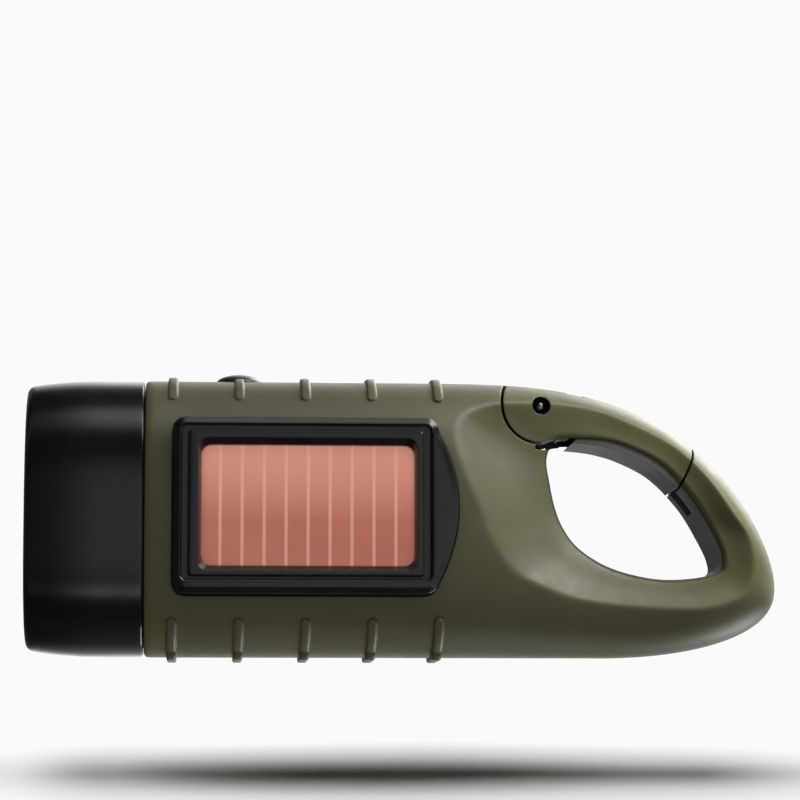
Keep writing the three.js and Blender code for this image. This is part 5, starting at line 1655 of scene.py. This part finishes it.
@dataclass
class Gate(Assembly):
    """The sprung gate with its lining, its pin and its spring."""

    liner_half: float = 7.3
    liner_start: float = 8.7
    liner_step: float = -0.45
    pin_half: float = 7.6
    pin_dome_share: float = 0.8
    pin_dome_deg: float = 85.0
    spring_mean: float = 2.5
    spring_wire: float = 0.4
    spring_pitch: float = 0.95
    spring_turns: int = 3
    spring_leg: float = 7.6
    spring_short: float = 2.2
    turn_points: int = 32
    wire_sides: int = 12

    def build(self, tail: Thing) -> None:
        """Cut the gate from the tail and add what belongs to it.

        Args:
            tail: the tail with its opening, used up here.
        """
        body = act(tail, Cut.KEEP, [GATE.region("gate_body", 0, 0, LOOP)])
        body.name = "gate_arm"
        keep = bar("keep", GATE.pin, (GATE.fork_radius + GATE.disc) / 2, -FAR, FAR, ROUND_SIDES)
        groove = act(LOOP.band("groove", -WALL, WALL + CLEARANCE, LOOP.groove_half),
                     Cut.CARVE, [keep])
        half = GATE.fork_half_gap
        act(body, Cut.CARVE, [
            bar("fork", GATE.pin, GATE.fork_radius, -half, half, ROUND_SIDES),
            bar("hole", GATE.pin, GATE.pin_hole, -FAR, FAR),
            groove, GATE.tongue_bar("root", CLEARANCE, GATE.notch_margin), *GATE.recess(),
        ])
        self.settle(body, "gate", "olive_shell", "gate")
        strip = LOOP.band("gate_lining", self.liner_step, WALL, self.liner_half)
        act(strip, Cut.KEEP, [GATE.region("gate_body", 0, 0, LOOP)])
        act(strip, Cut.CARVE, [bar("fork", GATE.pin, self.liner_start, -FAR, FAR, ROUND_SIDES)])
        act(strip, Cut.JOIN, [GATE.tongue_bar("tongue", 0, 0)])
        self.settle(strip, "gate", "grey_liner", "gate_liner")
        lining = LOOP.band("loop_lining", self.liner_step, WALL, self.liner_half)
        act(lining, Cut.CARVE, [GATE.region("gate_room", GATE.gap, GATE.joint_gap, LOOP),
                                GATE.swing_room(), GATE.notch("notch")])
        self.settle(lining, "housing", "grey_liner", "loop_liner")
        self.pin()
        self.spring()

    def pin(self) -> None:
        """The hinge pin with round ends."""
        r, half = GATE.pin_radius, self.pin_half
        rise = self.pin_dome_share * r
        round_end = [(r * c, half - rise + rise * s) for c, s in arc_points(0, self.pin_dome_deg, 9)]
        profile = [(0, -half), *[(a, -b) for a, b in reversed(round_end)], *round_end, (0, half)]
        rod = turned("hinge_pin", Axis.Y, (GATE.pin[0], 0, GATE.pin[1]), profile, 48)
        self.settle(rod, "housing", "bright_steel", "gate_pin")

    def spring(self) -> None:
        """The torsion spring round the pin."""
        turns = np.linspace(0, 1, self.turn_points * self.spring_turns + 1)
        angle = -turns * self.spring_turns * 2 * math.pi - math.pi / 2
        half = self.spring_pitch * self.spring_turns / 2
        line = np.column_stack([GATE.pin[0] + self.spring_mean * np.cos(angle), -half + 2 * half * turns,
                                GATE.pin[1] + self.spring_mean * np.sin(angle)])
        start = line[0] + np.array([self.spring_short, 0, 0])
        end = line[-1] + np.array([self.spring_leg, 0, 0])
        path = np.vstack([start, line, end])
        rings = []
        for i, point in enumerate(path):
            along = path[min(i + 1, len(path) - 1)] - path[max(i - 1, 0)]
            along = along / np.linalg.norm(along)
            side = np.cross([0, 1, 0], along)
            side = side / np.linalg.norm(side)
            up = np.cross(along, side)
            rings.append(np.array([point + self.spring_wire * (c * side + s * up)
                                   for c, s in arc_points(0, 360, self.wire_sides + 1)[:-1]]))
        self.settle(loft("hinge_spring", rings), "housing", "bright_steel", "gate_spring", smooth_deg=60)


@dataclass
class LampHead(Assembly):
    """The black head: cap, reflector and lamps."""

    front_x: float = -66.1
    grow_end_x: float = -53.0
    taper_height: float = 1.2
    taper_depth: float = 0.8
    edge: float = 1.2
    edge_share: float = 0.75
    back_edge: tuple[Pair, ...] = ((0.15, 0.05), (0.0, 0.25))
    back_edge_start: float = 0.5
    wall: float = 1.6
    lip: float = 1.0
    mouth_run: float = 0.5
    mouth_growth: tuple[float, ...] = (1.2, 0.3, -0.1)
    seam: float = 0.2
    overhang: float = 1.6
    lens: float = 1.6
    flange: float = 1.0
    cup_spacing: float = 0.537 * BarrelForm.half_height
    cup_front: float = 0.256 * BarrelForm.half_height
    cup_back: float = 3.4
    cup_wall: float = 0.7
    lamp_foot: float = -52.1
    led_radius: float = 2.5
    led_height: float = 4.4
    led_flange: float = 2.9
    led_flange_height: float = 1.0
    led_flange_edge: float = 0.1
    stations: int = 40
    sides: int = 240

    @property
    def lamp_heights(self) -> tuple[float, float, float]:
        """Heights of the three lamps, from the top one down."""
        return self.cup_spacing, 0.0, -self.cup_spacing

    def ring(self, x: float, inset: float) -> np.ndarray:
        """One section of the head, drawn in by an inset.

        Args:
            x: its place along the length.
            inset: how far it is drawn in.

        Returns:
            Its points, one row each.
        """
        share = float(np.clip((x - self.front_x) / (self.grow_end_x - self.front_x), 0, 1))
        rest = (1 - share) ** 2
        line = BARREL.oval(BARREL.half_depth - self.taper_depth * rest - inset,
                           BARREL.half_height - self.taper_height * rest - inset, self.sides)
        return np.column_stack([np.full(self.sides, x), line])

    def build(self) -> None:
        """Build the cap, the reflector and the lamps."""
        end = BARREL.front_x - self.seam
        rings = [self.ring(self.front_x + self.edge * (1 - s), self.edge * (1 - c) * self.edge_share)
                 for c, s in reversed(arc_points(0, 90, CORNER_STEPS + 1))]
        places = np.linspace(self.front_x + self.edge, end - self.back_edge_start, self.stations)
        rings += [self.ring(float(x), 0) for x in places[1:]]
        rings += [self.ring(end - run, inset) for run, inset in self.back_edge]
        cap = loft("lamp_cap", rings)
        seat = self.front_x + self.lip
        places = np.linspace(seat, BARREL.front_x + Case.bulkhead, 24)
        bore = loft("bore", [self.ring(float(x), self.wall) for x in places])
        back = self.wall + self.overhang
        starts = (self.front_x - OVERRUN, self.front_x + self.mouth_run, seat + self.mouth_run)
        mouth = [self.ring(x, back - growth) for x, growth in zip(starts, self.mouth_growth)]
        act(cap, Cut.CARVE, [bore, loft("mouth", mouth)])
        self.settle(cap, "housing", "black_shell", "head_cap")
        self.reflector()
        self.lamps()

    def cup(self, grow: float, start: float, end: float) -> list[Pair]:
        """Profile of one dish from its rim back to the lamp hole.

        Args:
            grow: how far it stands outside the dish.
            start: x of its rim.
            end: x of the lamp hole.

        Returns:
            Radius and x of each point.
        """
        shares = np.linspace(0, 1, 20)
        return [(self.cup_back + (self.cup_front - self.cup_back) * math.sqrt(1 - s) + grow,
                 start + (end - start) * s) for s in shares]

    def reflector(self) -> None:
        """The mirror sheet with three dishes."""
        face = self.front_x + self.lip + 2 * CLEARANCE + self.lens
        foot = self.lamp_foot
        inset = self.wall + CLEARANCE
        sheet = loft("mirror_bowl", [self.ring(face, inset), self.ring(face + self.flange, inset)])
        for z in self.lamp_heights:
            profile = [(0, face), *self.cup(self.cup_wall, face, foot), (0, foot)]
            act(sheet, Cut.JOIN, [turned("cup", Axis.X, (0, 0, z), profile)])
        for z in self.lamp_heights:
            profile = [(self.cup_front, face - OVERRUN), *self.cup(0, face, foot),
                       (self.cup_back, foot + OVERRUN)]
            act(sheet, Cut.CARVE, [turned("dish", Axis.X, (0, 0, z), profile)])
        self.settle(sheet, "housing", "mirror_coat", "reflector")

    def lamps(self) -> None:
        """Three lamps with round noses."""
        foot, r, wide, edge = self.lamp_foot, self.led_radius, self.led_flange, self.led_flange_edge
        nose, top = foot - self.led_height, foot - self.led_flange_height
        dome = [(r * c, nose - r * s) for c, s in arc_points(0, 90, 14)]
        profile = [(0, foot), (wide - edge, foot), (wide, foot - edge), (wide, top + edge),
                   (wide - edge, top), (r, top), *dome]
        for name, z in zip(("led_top", "led_middle", "led_bottom"), self.lamp_heights):
            lamp = turned(name + "_lamp", Axis.X, (0, 0, z), profile, 48)
            self.settle(lamp, "housing", "led_resin", name)


@dataclass
class SolarPanel(Assembly):
    """The black frame round the solar film."""

    left: float = -40.1
    corner_x: float = 5.6
    bulge: float = 3.6
    centre_z: float = 1.13
    half_z: float = 15.38
    corner: float = 2.3
    face_y: float = -19.0
    seat_y: float = -13.6
    edge_round: float = 0.3
    slope_width: float = 1.3
    slope_drop: float = 0.6
    slope_shares: tuple[float, ...] = (0.75, 0.15, 0.0)
    frame: tuple[float, float, float, float] = (-37.57, 3.35, 14.14, -11.17)
    groove: tuple[float, float, float, float] = (1.2, 1.3, 1.03, 0.6)
    groove_drop: float = 1.7
    groove_corner: float = 0.9
    groove_round: float = 0.5
    frame_corner: float = 0.6
    frame_round: float = 0.35
    window_outer: tuple[float, float, float, float] = (-35.85, 2.22, 12.89, -10.3)
    window_inner: tuple[float, float, float, float] = (-35.4, 1.8, 11.7, -9.4)
    window_corner: float = 1.8
    window_depth: float = 1.5
    window_land: float = 0.15
    cell_margin: float = 0.7
    pocket_corner: float = 0.1

    def outline_points(self, inset: float, steps: int = 40) -> np.ndarray:
        """Outline with round left corners and a bowed right side.

        Args:
            inset: how far it is drawn in.
            steps: points for each curve.

        Returns:
            The outline's (x, z) points.
        """
        left, right = self.left + inset, self.corner_x - inset / 2
        top, bottom = self.centre_z + self.half_z - inset, self.centre_z - self.half_z + inset
        r = self.corner - inset
        bow = right + 2 * self.bulge - inset / 2
        curves = [
            ((right - r, bottom), (right, bottom), (right + r / 4, bottom + r), steps // 3),
            ((right + r / 4, bottom + r), (bow, self.centre_z), (right + r / 4, top - r), steps),
            ((right + r / 4, top - r), (right, top), (right - r, top), steps // 3),
            ((left + r, top), (left, top), (left, top - r), steps // 3),
            ((left, bottom + r), (left, bottom), (left + r, bottom), steps // 3),
        ]
        points: list[np.ndarray] = []
        for a, b, c, count in curves:
            t = np.linspace(0, 1, count)[:, None]
            a, b, c = (np.array(p) for p in (a, b, c))
            points.append((1 - t) ** 2 * a + 2 * t * (1 - t) * b + t ** 2 * c)
        line = np.vstack(points)
        keep = np.linalg.norm(line - np.roll(line, 1, axis=0), axis=1) > TINY
        return line[keep]

    @staticmethod
    def rectangle(edges: Sequence[float], grow: float, corner: float) -> np.ndarray:
        """A rectangle grown by a margin with round corners.

        Args:
            edges: left, right, top and bottom.
            grow: the margin.
            corner: radius of the corners.

        Returns:
            The outline's (x, z) points.
        """
        left, right, top, bottom = edges
        x0, x1, z0, z1 = left - grow, right + grow, bottom - grow, top + grow
        places = ((x1 - corner, z1 - corner, 0), (x0 + corner, z1 - corner, 90),
                  (x0 + corner, z0 + corner, 180), (x1 - corner, z0 + corner, 270))
        return np.array([(x + corner * c, z + corner * s) for x, z, start in places
                         for c, s in arc_points(start, start + 90, 10)])

    def body_rings(self, base: np.ndarray) -> list[np.ndarray]:
        """Rings of the frame's body: its wall, its rounded edge and the slope up to its face.

        Args:
            base: the outline's (x, z) points.

        Returns:
            The rings from back to front.
        """
        out = self.normals(base)
        r = self.edge_round
        tilt = math.atan2(self.slope_drop, self.slope_width)
        start = r - r * math.sin(tilt)
        middle = self.face_y + (self.slope_width - start) * math.tan(tilt) + r * math.cos(tilt)
        steps = [(0.0, self.seat_y - CLEARANCE)]
        turns = arc_points(0, 90 - math.degrees(tilt), EDGE_STEPS)
        steps += [(r - r * c, middle - r * s) for c, s in turns]
        steps += [(self.slope_width * (1 - share), self.face_y + self.slope_drop * share)
                  for share in self.slope_shares]
        return [at_depth(base - out * inset, y) for inset, y in steps]

    def block(self, name: str, steps: Sequence[tuple[Sequence[float], float, float]]) -> Thing:
        """A closed block through rectangles, each given by its edges, corner radius and y."""
        return loft(name, [at_depth(self.rectangle(edges, 0, corner), y) for edges, corner, y in steps])

    @staticmethod
    def drawn_in(edges: Sequence[float], insets: Sequence[float]) -> tuple[float, float, float, float]:
        """Left, right, top and bottom of a rectangle drawn in by an inset on each side."""
        left, right, top, bottom = edges
        return left + insets[0], right - insets[1], top - insets[2], bottom + insets[3]

    def groove_ring(self) -> Thing:
        """The groove between edge and frame, its mouth rounded on both sides.

        Returns:
            The cutter.
        """
        face, deep = self.face_y, self.face_y + self.groove_drop
        outer = self.drawn_in(self.frame, [-g for g in self.groove])
        r, q, corner = self.groove_round, self.frame_round, self.frame_corner
        turns = arc_points(0, 90, EDGE_STEPS)
        wide = [(self.drawn_in(outer, [-r] * 4), self.groove_corner + r, face - OVERRUN)]
        wide += [(self.drawn_in(outer, [r * s - r] * 4), self.groove_corner + r - r * s, face + r - r * c)
                 for c, s in turns]
        wide += [(outer, self.groove_corner, deep)]
        keep = [(self.frame, corner, deep + OVERRUN)]
        keep += [(self.drawn_in(self.frame, [q - q * c] * 4), corner, face + q - q * s) for c, s in turns]
        keep += [(keep[-1][0], corner, face - 2 * OVERRUN)]
        return act(self.block("groove", wide), Cut.CARVE, [self.block("frame_keep", keep)])

    def build(self) -> None:
        """Build the frame and settle it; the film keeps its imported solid."""
        face = self.face_y
        middle = np.array([(self.left + self.corner_x) / 2, self.centre_z])
        body = loft("panel_frame", self.body_rings(self.outline_points(0)), middle)
        window = self.block("window", [(edges, self.window_corner, y) for edges, y in (
            (self.window_outer, face - OVERRUN), (self.window_outer, face),
            (self.window_inner, face + self.window_depth - self.window_land), (self.window_inner, 0))])
        room = self.rectangle(self.window_inner, self.cell_margin + CLEARANCE, self.pocket_corner)
        pocket = prism("pocket", room, face + self.window_depth, 0)
        act(body, Cut.CARVE, [self.groove_ring(), window, pocket])
        self.settle(body, "housing", "black_shell", "solar_bezel")

    @staticmethod
    def normals(line: np.ndarray) -> np.ndarray:
        """Unit normals of a closed line, pointing outwards.

        Args:
            line: its points.

        Returns:
            One normal for each point.
        """
        along = np.roll(line, -1, axis=0) - np.roll(line, 1, axis=0)
        out = np.column_stack([along[:, 1], -along[:, 0]])
        out /= np.linalg.norm(out, axis=1, keepdims=True)
        centre = line.mean(axis=0)
        if np.sum(out * (line - centre)) < 0:
            out = -out
        return out


@dataclass
class PowerButton(Assembly):
    """The domed push button."""

    x: float = -28.7
    radius: float = 4.15
    rise: float = 1.7
    shoulder_z: float = 24.4
    flange_z: float = 22.0
    flange_radius: float = 5.2
    flange_height: float = 0.8
    stem_radius: float = 1.5
    stem_length: float = 1.6

    def build(self) -> None:
        """Build the dome with its stem and flange."""
        foot = self.flange_z - self.flange_height
        stem = foot - self.stem_length
        wide, thin = self.flange_radius, self.stem_radius
        dome = [(self.radius * c, self.shoulder_z + self.rise * s) for c, s in arc_points(0, 90, 20)]
        profile = [(0, stem), (thin, stem), (thin, foot), (wide, foot), (wide, self.flange_z),
                   (self.radius, self.flange_z), *dome]
        cap = turned("button_dome", Axis.Z, (self.x, 0, 0), profile, ROUND_SIDES)
        self.settle(cap, "button", "button_rubber", "power_button")


@dataclass
class Crank(Assembly):
    """The folding crank: arm, knob and pins."""

    x: float = -10.0
    back_y: float = 15.2
    thickness: float = 4.6
    hub: float = 9.0
    end: float = 7.0
    length: float = 28.0
    edge: float = 0.7
    knob_length: float = 17.0
    knob_width: float = 8.8
    knob_corner: float = 0.9
    knob_edge: float = 0.6
    knob_pin: float = 0.9
    pin_short: float = 0.6
    pin_edge: float = 0.2
    socket_half: float = 2.0
    socket_depth: float = 1.6
    web: float = 1.2
    screw_head: float = 3.0
    screw_radius: float = 1.2

    @property
    def hinge(self) -> Pair:
        """Place (x, y) of the knob's hinge."""
        return self.x + self.length, self.back_y + self.thickness / 2

    def pin_hole(self) -> Thing:
        """A cutter for the knob's pin."""
        return bar("pin_hole", self.hinge, self.knob_pin + CLEARANCE, -FAR, FAR, 32, Axis.Z)

    def outline(self, inset: float) -> np.ndarray:
        """Hull of the hub and the end, drawn in by an inset.

        Args:
            inset: how far it is drawn in.

        Returns:
            The outline's (x, z) points.
        """
        lean = math.degrees(math.acos((self.hub - self.end) / self.length))
        hub = [(self.x + (self.hub - inset) * c, (self.hub - inset) * s)
               for c, s in arc_points(lean, 360 - lean, 90)]
        tip = [(self.x + self.length + (self.end - inset) * c, (self.end - inset) * s)
               for c, s in arc_points(-lean, lean, 70)]
        return np.array(hub + tip)

    def build(self) -> None:
        """Build the arm, the knob and the pin."""
        face, r = self.back_y + self.thickness, self.edge
        turns = arc_points(0, 90, EDGE_STEPS)
        rings = [at_depth(self.outline(r * (1 - s)), self.back_y + r * (1 - c)) for c, s in turns]
        rings += [at_depth(self.outline(r * (1 - c)), face - r * (1 - s)) for c, s in turns]
        arm = loft("crank_lever", rings, np.array([self.x + self.length / 2, 0]))
        pin_x, mid_y = self.hinge
        slot_half = self.knob_width / 2 + CLEARANCE
        slot_x = pin_x - self.knob_length - CLEARANCE
        socket = self.socket_half + CLEARANCE
        seat = self.back_y + self.socket_depth + self.web
        tools = [
            slab("slot", (slot_x, self.back_y - OVERRUN, -slot_half),
                 (pin_x + 2 * self.end, face + OVERRUN, slot_half)),
            self.pin_hole(),
            slab("socket", (self.x - socket, self.back_y - OVERRUN, -socket),
                 (self.x + socket, self.back_y + self.socket_depth, socket)),
            bar("head_room", (self.x, 0), self.screw_head + CLEARANCE, seat, FAR),
            bar("screw_room", (self.x, 0), self.screw_radius + CLEARANCE, 0, FAR),
            bar("thumb_room", (slot_x, 0), slot_half, mid_y, FAR),
        ]
        act(arm, Cut.CARVE, tools)
        self.settle(arm, "crank", "black_crank", "crank_arm")
        self.knob()
        half, r, edge = self.end - self.pin_short, self.knob_pin, self.pin_edge
        pin = turned("knob_axle", Axis.Z, (pin_x, mid_y, 0), [
            (0, -half), (r - edge, -half), (r, edge - half),
            (r, half - edge), (r - edge, half), (0, half)], 32)
        self.settle(pin, "crank", "bright_steel", "knob_pin")

    def knob_outline(self, inset: float) -> np.ndarray:
        """Top view of the knob, round at its hinge.

        Args:
            inset: how far it is drawn in.

        Returns:
            The outline's (x, y) points.
        """
        (pin_x, mid_y), q = self.hinge, self.knob_corner
        r, tip = self.thickness / 2 - inset, pin_x - self.knob_length + inset
        turns = arc_points(0, 90, CORNER_STEPS)
        line = [(pin_x + r * c, mid_y + r * s) for c, s in arc_points(-90, 90, 30)]
        line += [(tip + q - q * s, mid_y + r - q + q * c) for c, s in turns]
        line += [(tip + q - q * c, mid_y - r + q - q * s) for c, s in turns]
        return np.array(line)

    def knob(self) -> None:
        """The folding knob with its rounded ends."""
        r, half = self.knob_edge, self.knob_width / 2
        steps = [(r * (1 - c), half - r * (1 - s)) for c, s in arc_points(0, 90, EDGE_STEPS)]
        rings = []
        for inset, z in [*[(inset, -z) for inset, z in reversed(steps)], *steps]:
            line = self.knob_outline(inset)
            rings.append(np.column_stack([line, np.full(len(line), z)]))
        handle = act(loft("crank_handle", rings), Cut.CARVE, [self.pin_hole()])
        self.settle(handle, "knob", "black_crank", "crank_knob")


@dataclass
class Screws(Assembly):
    """Pan-head screws with a cross recess."""

    recess_width: float = 0.75
    recess_depth: float = 1.0
    recess_share: float = 0.62
    wall_share: float = 0.45
    crown_share: float = 0.35
    case_head: float = 1.6
    crank_head: float = 1.3
    crank_length: float = 7.0

    def screw(self, name: str, place: Pair, seat: float, radius: float, length: float,
              head_radius: float, head: float) -> Thing:
        """One screw along y, its head towards the crank side.

        Args:
            name: the object's name.
            place: side view place of its axis.
            seat: y of the face under its head.
            radius: shank radius.
            length: shank length.
            head_radius: radius of the head.
            head: height of the head.

        Returns:
            The screw.
        """
        wall = seat + head * self.wall_share
        crown = [(head_radius - head * self.crown_share * (1 - c), wall + head * (1 - self.wall_share) * s)
                 for c, s in arc_points(0, 90, CORNER_STEPS)]
        profile = [(0, seat - length), (radius / 3, seat - length), (radius, seat - length + radius),
                   (radius, seat), (head_radius, seat), *crown, (0, seat + head)]
        body = turned(name, Axis.Y, (place[0], 0, place[1]), profile, 40)
        arm, half = head_radius * self.recess_share, self.recess_width / 2
        top, low = seat + head + OVERRUN, seat + head - self.recess_depth
        x, z = place
        return act(body, Cut.CARVE, [
            slab("recess", (x - arm, low, z - half), (x + arm, top, z + half)),
            slab("recess", (x - half, low, z - arm), (x + half, top, z + arm)),
        ])

    def build(self) -> None:
        """Build the case screws and the crank's screw."""
        for i, place in enumerate(Case.screw_places, start=1):
            screw = self.screw(f"case_bolt_{i}", place, Case.screw_seat_y + CLEARANCE, Case.screw_radius,
                               Case.screw_length, Case.screw_head, self.case_head)
            self.settle(screw, "housing", "dark_steel", f"case_screw_{i}")
        seat = Crank.back_y + Crank.socket_depth + Crank.web + CLEARANCE
        screw = self.screw("crank_bolt", (Crank.x, 0.0), seat, Crank.screw_radius, self.crank_length,
                           Crank.screw_head, self.crank_head)
        self.settle(screw, "crank", "bright_steel", "crank_screw")


# Camera, floor and lights


def limit_light(lamp: Thing, things: Iterable[Thing], lit: bool) -> None:
    """Let a light reach the given objects alone, or everything but them.

    Args:
        lamp: the light.
        things: the objects.
        lit: whether it reaches them alone.
    """
    chosen = bpy.data.collections.new(lamp.name + "_lit")
    for thing in things:
        chosen.objects.link(thing)
    if not lit:
        for entry in chosen.collection_objects:
            entry.light_linking.link_state = "EXCLUDE"
    lamp.light_linking.receiver_collection = chosen


class Reach(Enum):
    """What a light does."""

    FLOOR = "lights the floor alone"
    BODY = "lights the object"
    SHEEN = "is only mirrored by the object"
    FILM = "lights the solar film alone"


@dataclass(frozen=True)
class SoftSun:
    """A wide, even light from one direction."""

    name: str
    direction: tuple[float, float, float]
    spread_deg: float
    strength: float
    reach: Reach = Reach.BODY

    def build(self, ground: Thing) -> None:
        """Hang the light and say what it lights.

        Args:
            ground: the floor.
        """
        data = bpy.data.lights.new(self.name, "SUN")
        data.angle = math.radians(self.spread_deg)
        data.energy = self.strength
        lamp = link(self.name, data)
        lamp.rotation_euler = Vector(self.direction).to_track_quat("Z", "Y").to_euler()
        lamp.visible_glossy = self.reach is Reach.SHEEN
        lamp.visible_diffuse = self.reach is not Reach.SHEEN
        things = [frame["nodes"]["solar_cell"]] if self.reach is Reach.FILM else [ground]
        limit_light(lamp, things, self.reach in (Reach.FLOOR, Reach.FILM))


@dataclass
class Studio:
    """The camera, the pale floor, the soft lights and the panels that glossy faces mirror."""

    camera_place: tuple[float, float, float] = (-0.03595, -0.560, -0.0207)
    yaw_deg: float = 3.613
    pitch_deg: float = 6.895
    lens: float = 140.85
    sensor: float = 36.0
    nearest: float = 0.01
    farthest: float = 200.0
    floor_height: float = -0.0200
    floor_slope_deg: float = 10.5
    floor_size: float = 40.0
    floor_tones: Pair = (0.81, 0.80)
    floor_patches: float = 30.0
    floor_roughness: float = 0.9
    backdrop: float = 1.1
    panel_start: Pair = (-0.2, 0.12)
    panel_end: Pair = (-0.02, 1.0)
    white: float = 0.955
    lamp_place: tuple[float, float, float] = (0.11, -0.038, 0.09)
    lamp_aim: tuple[float, float, float] = (0.04, 0.0, 0.02)
    lamp_size: float = 0.06
    lamp_power: float = 0.33
    ambient: float = 0.015
    lights: tuple[SoftSun, ...] = (
        SoftSun("over_floor", (-0.08, 0.0, 1.0), 51.0, 2.75, Reach.FLOOR),
        SoftSun("left_of_floor", (-1.0, 0.0, 0.84), 34.0, 1.85, Reach.FLOOR),
        SoftSun("right_of_floor", (1.0, 0.0, 0.84), 30.0, 0.5, Reach.FLOOR),
        SoftSun("key", (0.0, -0.12, 1.0), 60.0, 3.0),
        SoftSun("front_fill", (-0.2, -1.0, 0.25), 90.0, 1.06),
        SoftSun("under_fill", (0.0, 0.05, -1.0), 60.0, 2.8),
        SoftSun("film_light", (-0.2, -1.0, 0.1), 40.0, 1.25, Reach.FILM),
        SoftSun("sheen_right", (0.6, -0.35, 0.72), 34.0, 2.4, Reach.SHEEN),
        SoftSun("sheen_behind", (0.5, 0.6, 0.6), 34.0, 1.8, Reach.SHEEN),
        SoftSun("sheen_under", (0.55, 0.35, -0.68), 34.0, 1.9, Reach.SHEEN),
    )
    mirrored: tuple[Pair, ...] = (
        (-180, 1.6), (-150, 0.6), (-115, 0.2), (-60, 0.04), (-40, 0.1), (-32, 1.5), (-25, 0.35),
        (-14, 0.62), (12, 0.62), (28, 0.04), (42, 0.1), (56, 1.8), (64, 1.8), (78, 0.15),
        (100, 0.05), (118, 0.35), (140, 2.2), (180, 1.6),
    )

    def camera(self) -> None:
        """Set up the camera at the photograph's angle."""
        data = bpy.data.cameras.new("camera")
        data.lens = self.lens
        data.sensor_width = self.sensor
        data.clip_start = self.nearest
        data.clip_end = self.farthest
        eye = link("camera", data)
        eye.location = self.camera_place
        eye.rotation_euler = (math.radians(90 + self.pitch_deg), 0, math.radians(-self.yaw_deg))
        bpy.context.scene.camera = eye

    def floor(self) -> Thing:
        """Lay the pale floor that takes the shadow.

        Returns:
            The floor.
        """
        size = self.floor_size
        rise = math.tan(math.radians(self.floor_slope_deg))
        corners = [(x * size, y * size, self.floor_height + y * size * rise)
                   for x, y in ((-1, -1), (1, -1), (1, 1), (-1, 1))]
        mesh = bpy.data.meshes.new("floor")
        mesh.from_pydata(corners, [], [(0, 1, 2, 3)])
        ground = link("floor", mesh)
        ground.visible_glossy = False
        ground.visible_diffuse = False
        ground.visible_shadow = False
        material = bpy.data.materials.new("pale_floor")
        material.use_nodes = True
        sheet = NodeSheet(material.node_tree)
        noise = sheet.add("ShaderNodeTexNoise", Vector=sheet.place(), Scale=self.floor_patches,
                          Detail=4.0)
        colour = sheet.blend(noise.outputs[0], *((tone, tone, tone, 1) for tone in self.floor_tones))
        shader = sheet.add("ShaderNodeBsdfPrincipled", Base_Color=colour,
                           Roughness=self.floor_roughness, Specular_IOR_Level=0.0)
        sheet.add("ShaderNodeOutputMaterial", Surface=shader.outputs[0])
        mesh.materials.append(material)
        return ground

    def world(self) -> None:
        """White backdrop, dim surroundings, and soft panels for what mirrors them."""
        world = bpy.data.worlds.new("studio")
        bpy.context.scene.world = world
        world.use_nodes = True
        sheet = NodeSheet(world.node_tree)
        path = sheet.add("ShaderNodeLightPath")
        across, deep, up = sheet.split(sheet.add("ShaderNodeTexCoord").outputs["Generated"])
        turn = sheet.maths("ARCTAN2", up, sheet.maths("MULTIPLY", deep, -1.0))
        ramp = sheet.add("ShaderNodeValToRGB")
        sheet.feed(ramp, "i0", sheet.maths("MULTIPLY_ADD", turn, 0.5 / math.pi, 0.5))
        stops = ramp.color_ramp.elements
        for i, (degrees, level) in enumerate(self.mirrored):
            share = degrees / 360 + 0.5
            stop = stops[i] if i < 2 else stops.new(share)
            stop.position = share
            stop.color = (level, level, level, 1)
        (start, least), (end, most) = self.panel_start, self.panel_end
        panels = sheet.maths("MULTIPLY", ramp.outputs[0], sheet.between(across, start, end, least, most))
        dim = sheet.add("ShaderNodeBackground", Color=(1, 1, 1, 1), Strength=self.ambient)
        glow = sheet.add("ShaderNodeBackground", Color=(1, 1, 1, 1), Strength=panels)
        seen = sheet.add("ShaderNodeBackground", Color=(1, 1, 1, 1), Strength=self.backdrop)
        mirror = sheet.add("ShaderNodeMixShader", Fac=path.outputs["Is Glossy Ray"])
        sheet.feed(mirror, "i1", dim.outputs[0])
        sheet.feed(mirror, "i2", glow.outputs[0])
        mix = sheet.add("ShaderNodeMixShader", Fac=path.outputs["Is Camera Ray"])
        sheet.feed(mix, "i1", mirror.outputs[0])
        sheet.feed(mix, "i2", seen.outputs[0])
        sheet.add("ShaderNodeOutputWorld", Surface=mix.outputs[0])

    def tail_lamp(self, ground: Thing) -> None:
        """Hang a near, soft lamp on the right that grazes the tail and the loop.

        Args:
            ground: the floor, which it doesn't light; the film is left out too.
        """
        data = bpy.data.lights.new("tail_lamp", "AREA")
        data.shape = "DISK"
        data.size = self.lamp_size
        data.energy = self.lamp_power
        lamp = link("tail_lamp", data)
        lamp.location = self.lamp_place
        toward = Vector(self.lamp_aim) - Vector(self.lamp_place)
        lamp.rotation_euler = toward.to_track_quat("-Z", "Y").to_euler()
        lamp.visible_glossy = False
        limit_light(lamp, [ground, frame["nodes"]["solar_cell"]], False)

    def build(self) -> None:
        """Build the whole studio and set how the picture is developed."""
        self.camera()
        ground = self.floor()
        self.world()
        for light in self.lights:
            light.build(ground)
        self.tail_lamp(ground)
        view = bpy.context.scene.view_settings
        view.view_transform = "Standard"
        view.look = "None"
        view.use_curve_mapping = True
        view.curve_mapping.extend = "HORIZONTAL"
        view.curve_mapping.curves[3].points[1].location = (1.0, self.white)
        view.curve_mapping.update()


def main() -> None:
    """Build every sub-assembly in order and report each piece."""
    logging.basicConfig(level=logging.INFO, format="%(name)s: %(message)s")
    palette = Palette(Effects())
    palette.dress_solids()
    Studio().build()
    tail = Case(palette).build()
    Gate(palette).build(tail)
    LampHead(palette).build()
    SolarPanel(palette).build()
    PowerButton(palette).build()
    Crank(palette).build()
    Screws(palette).build()


if __name__ == "__main__":
    main()
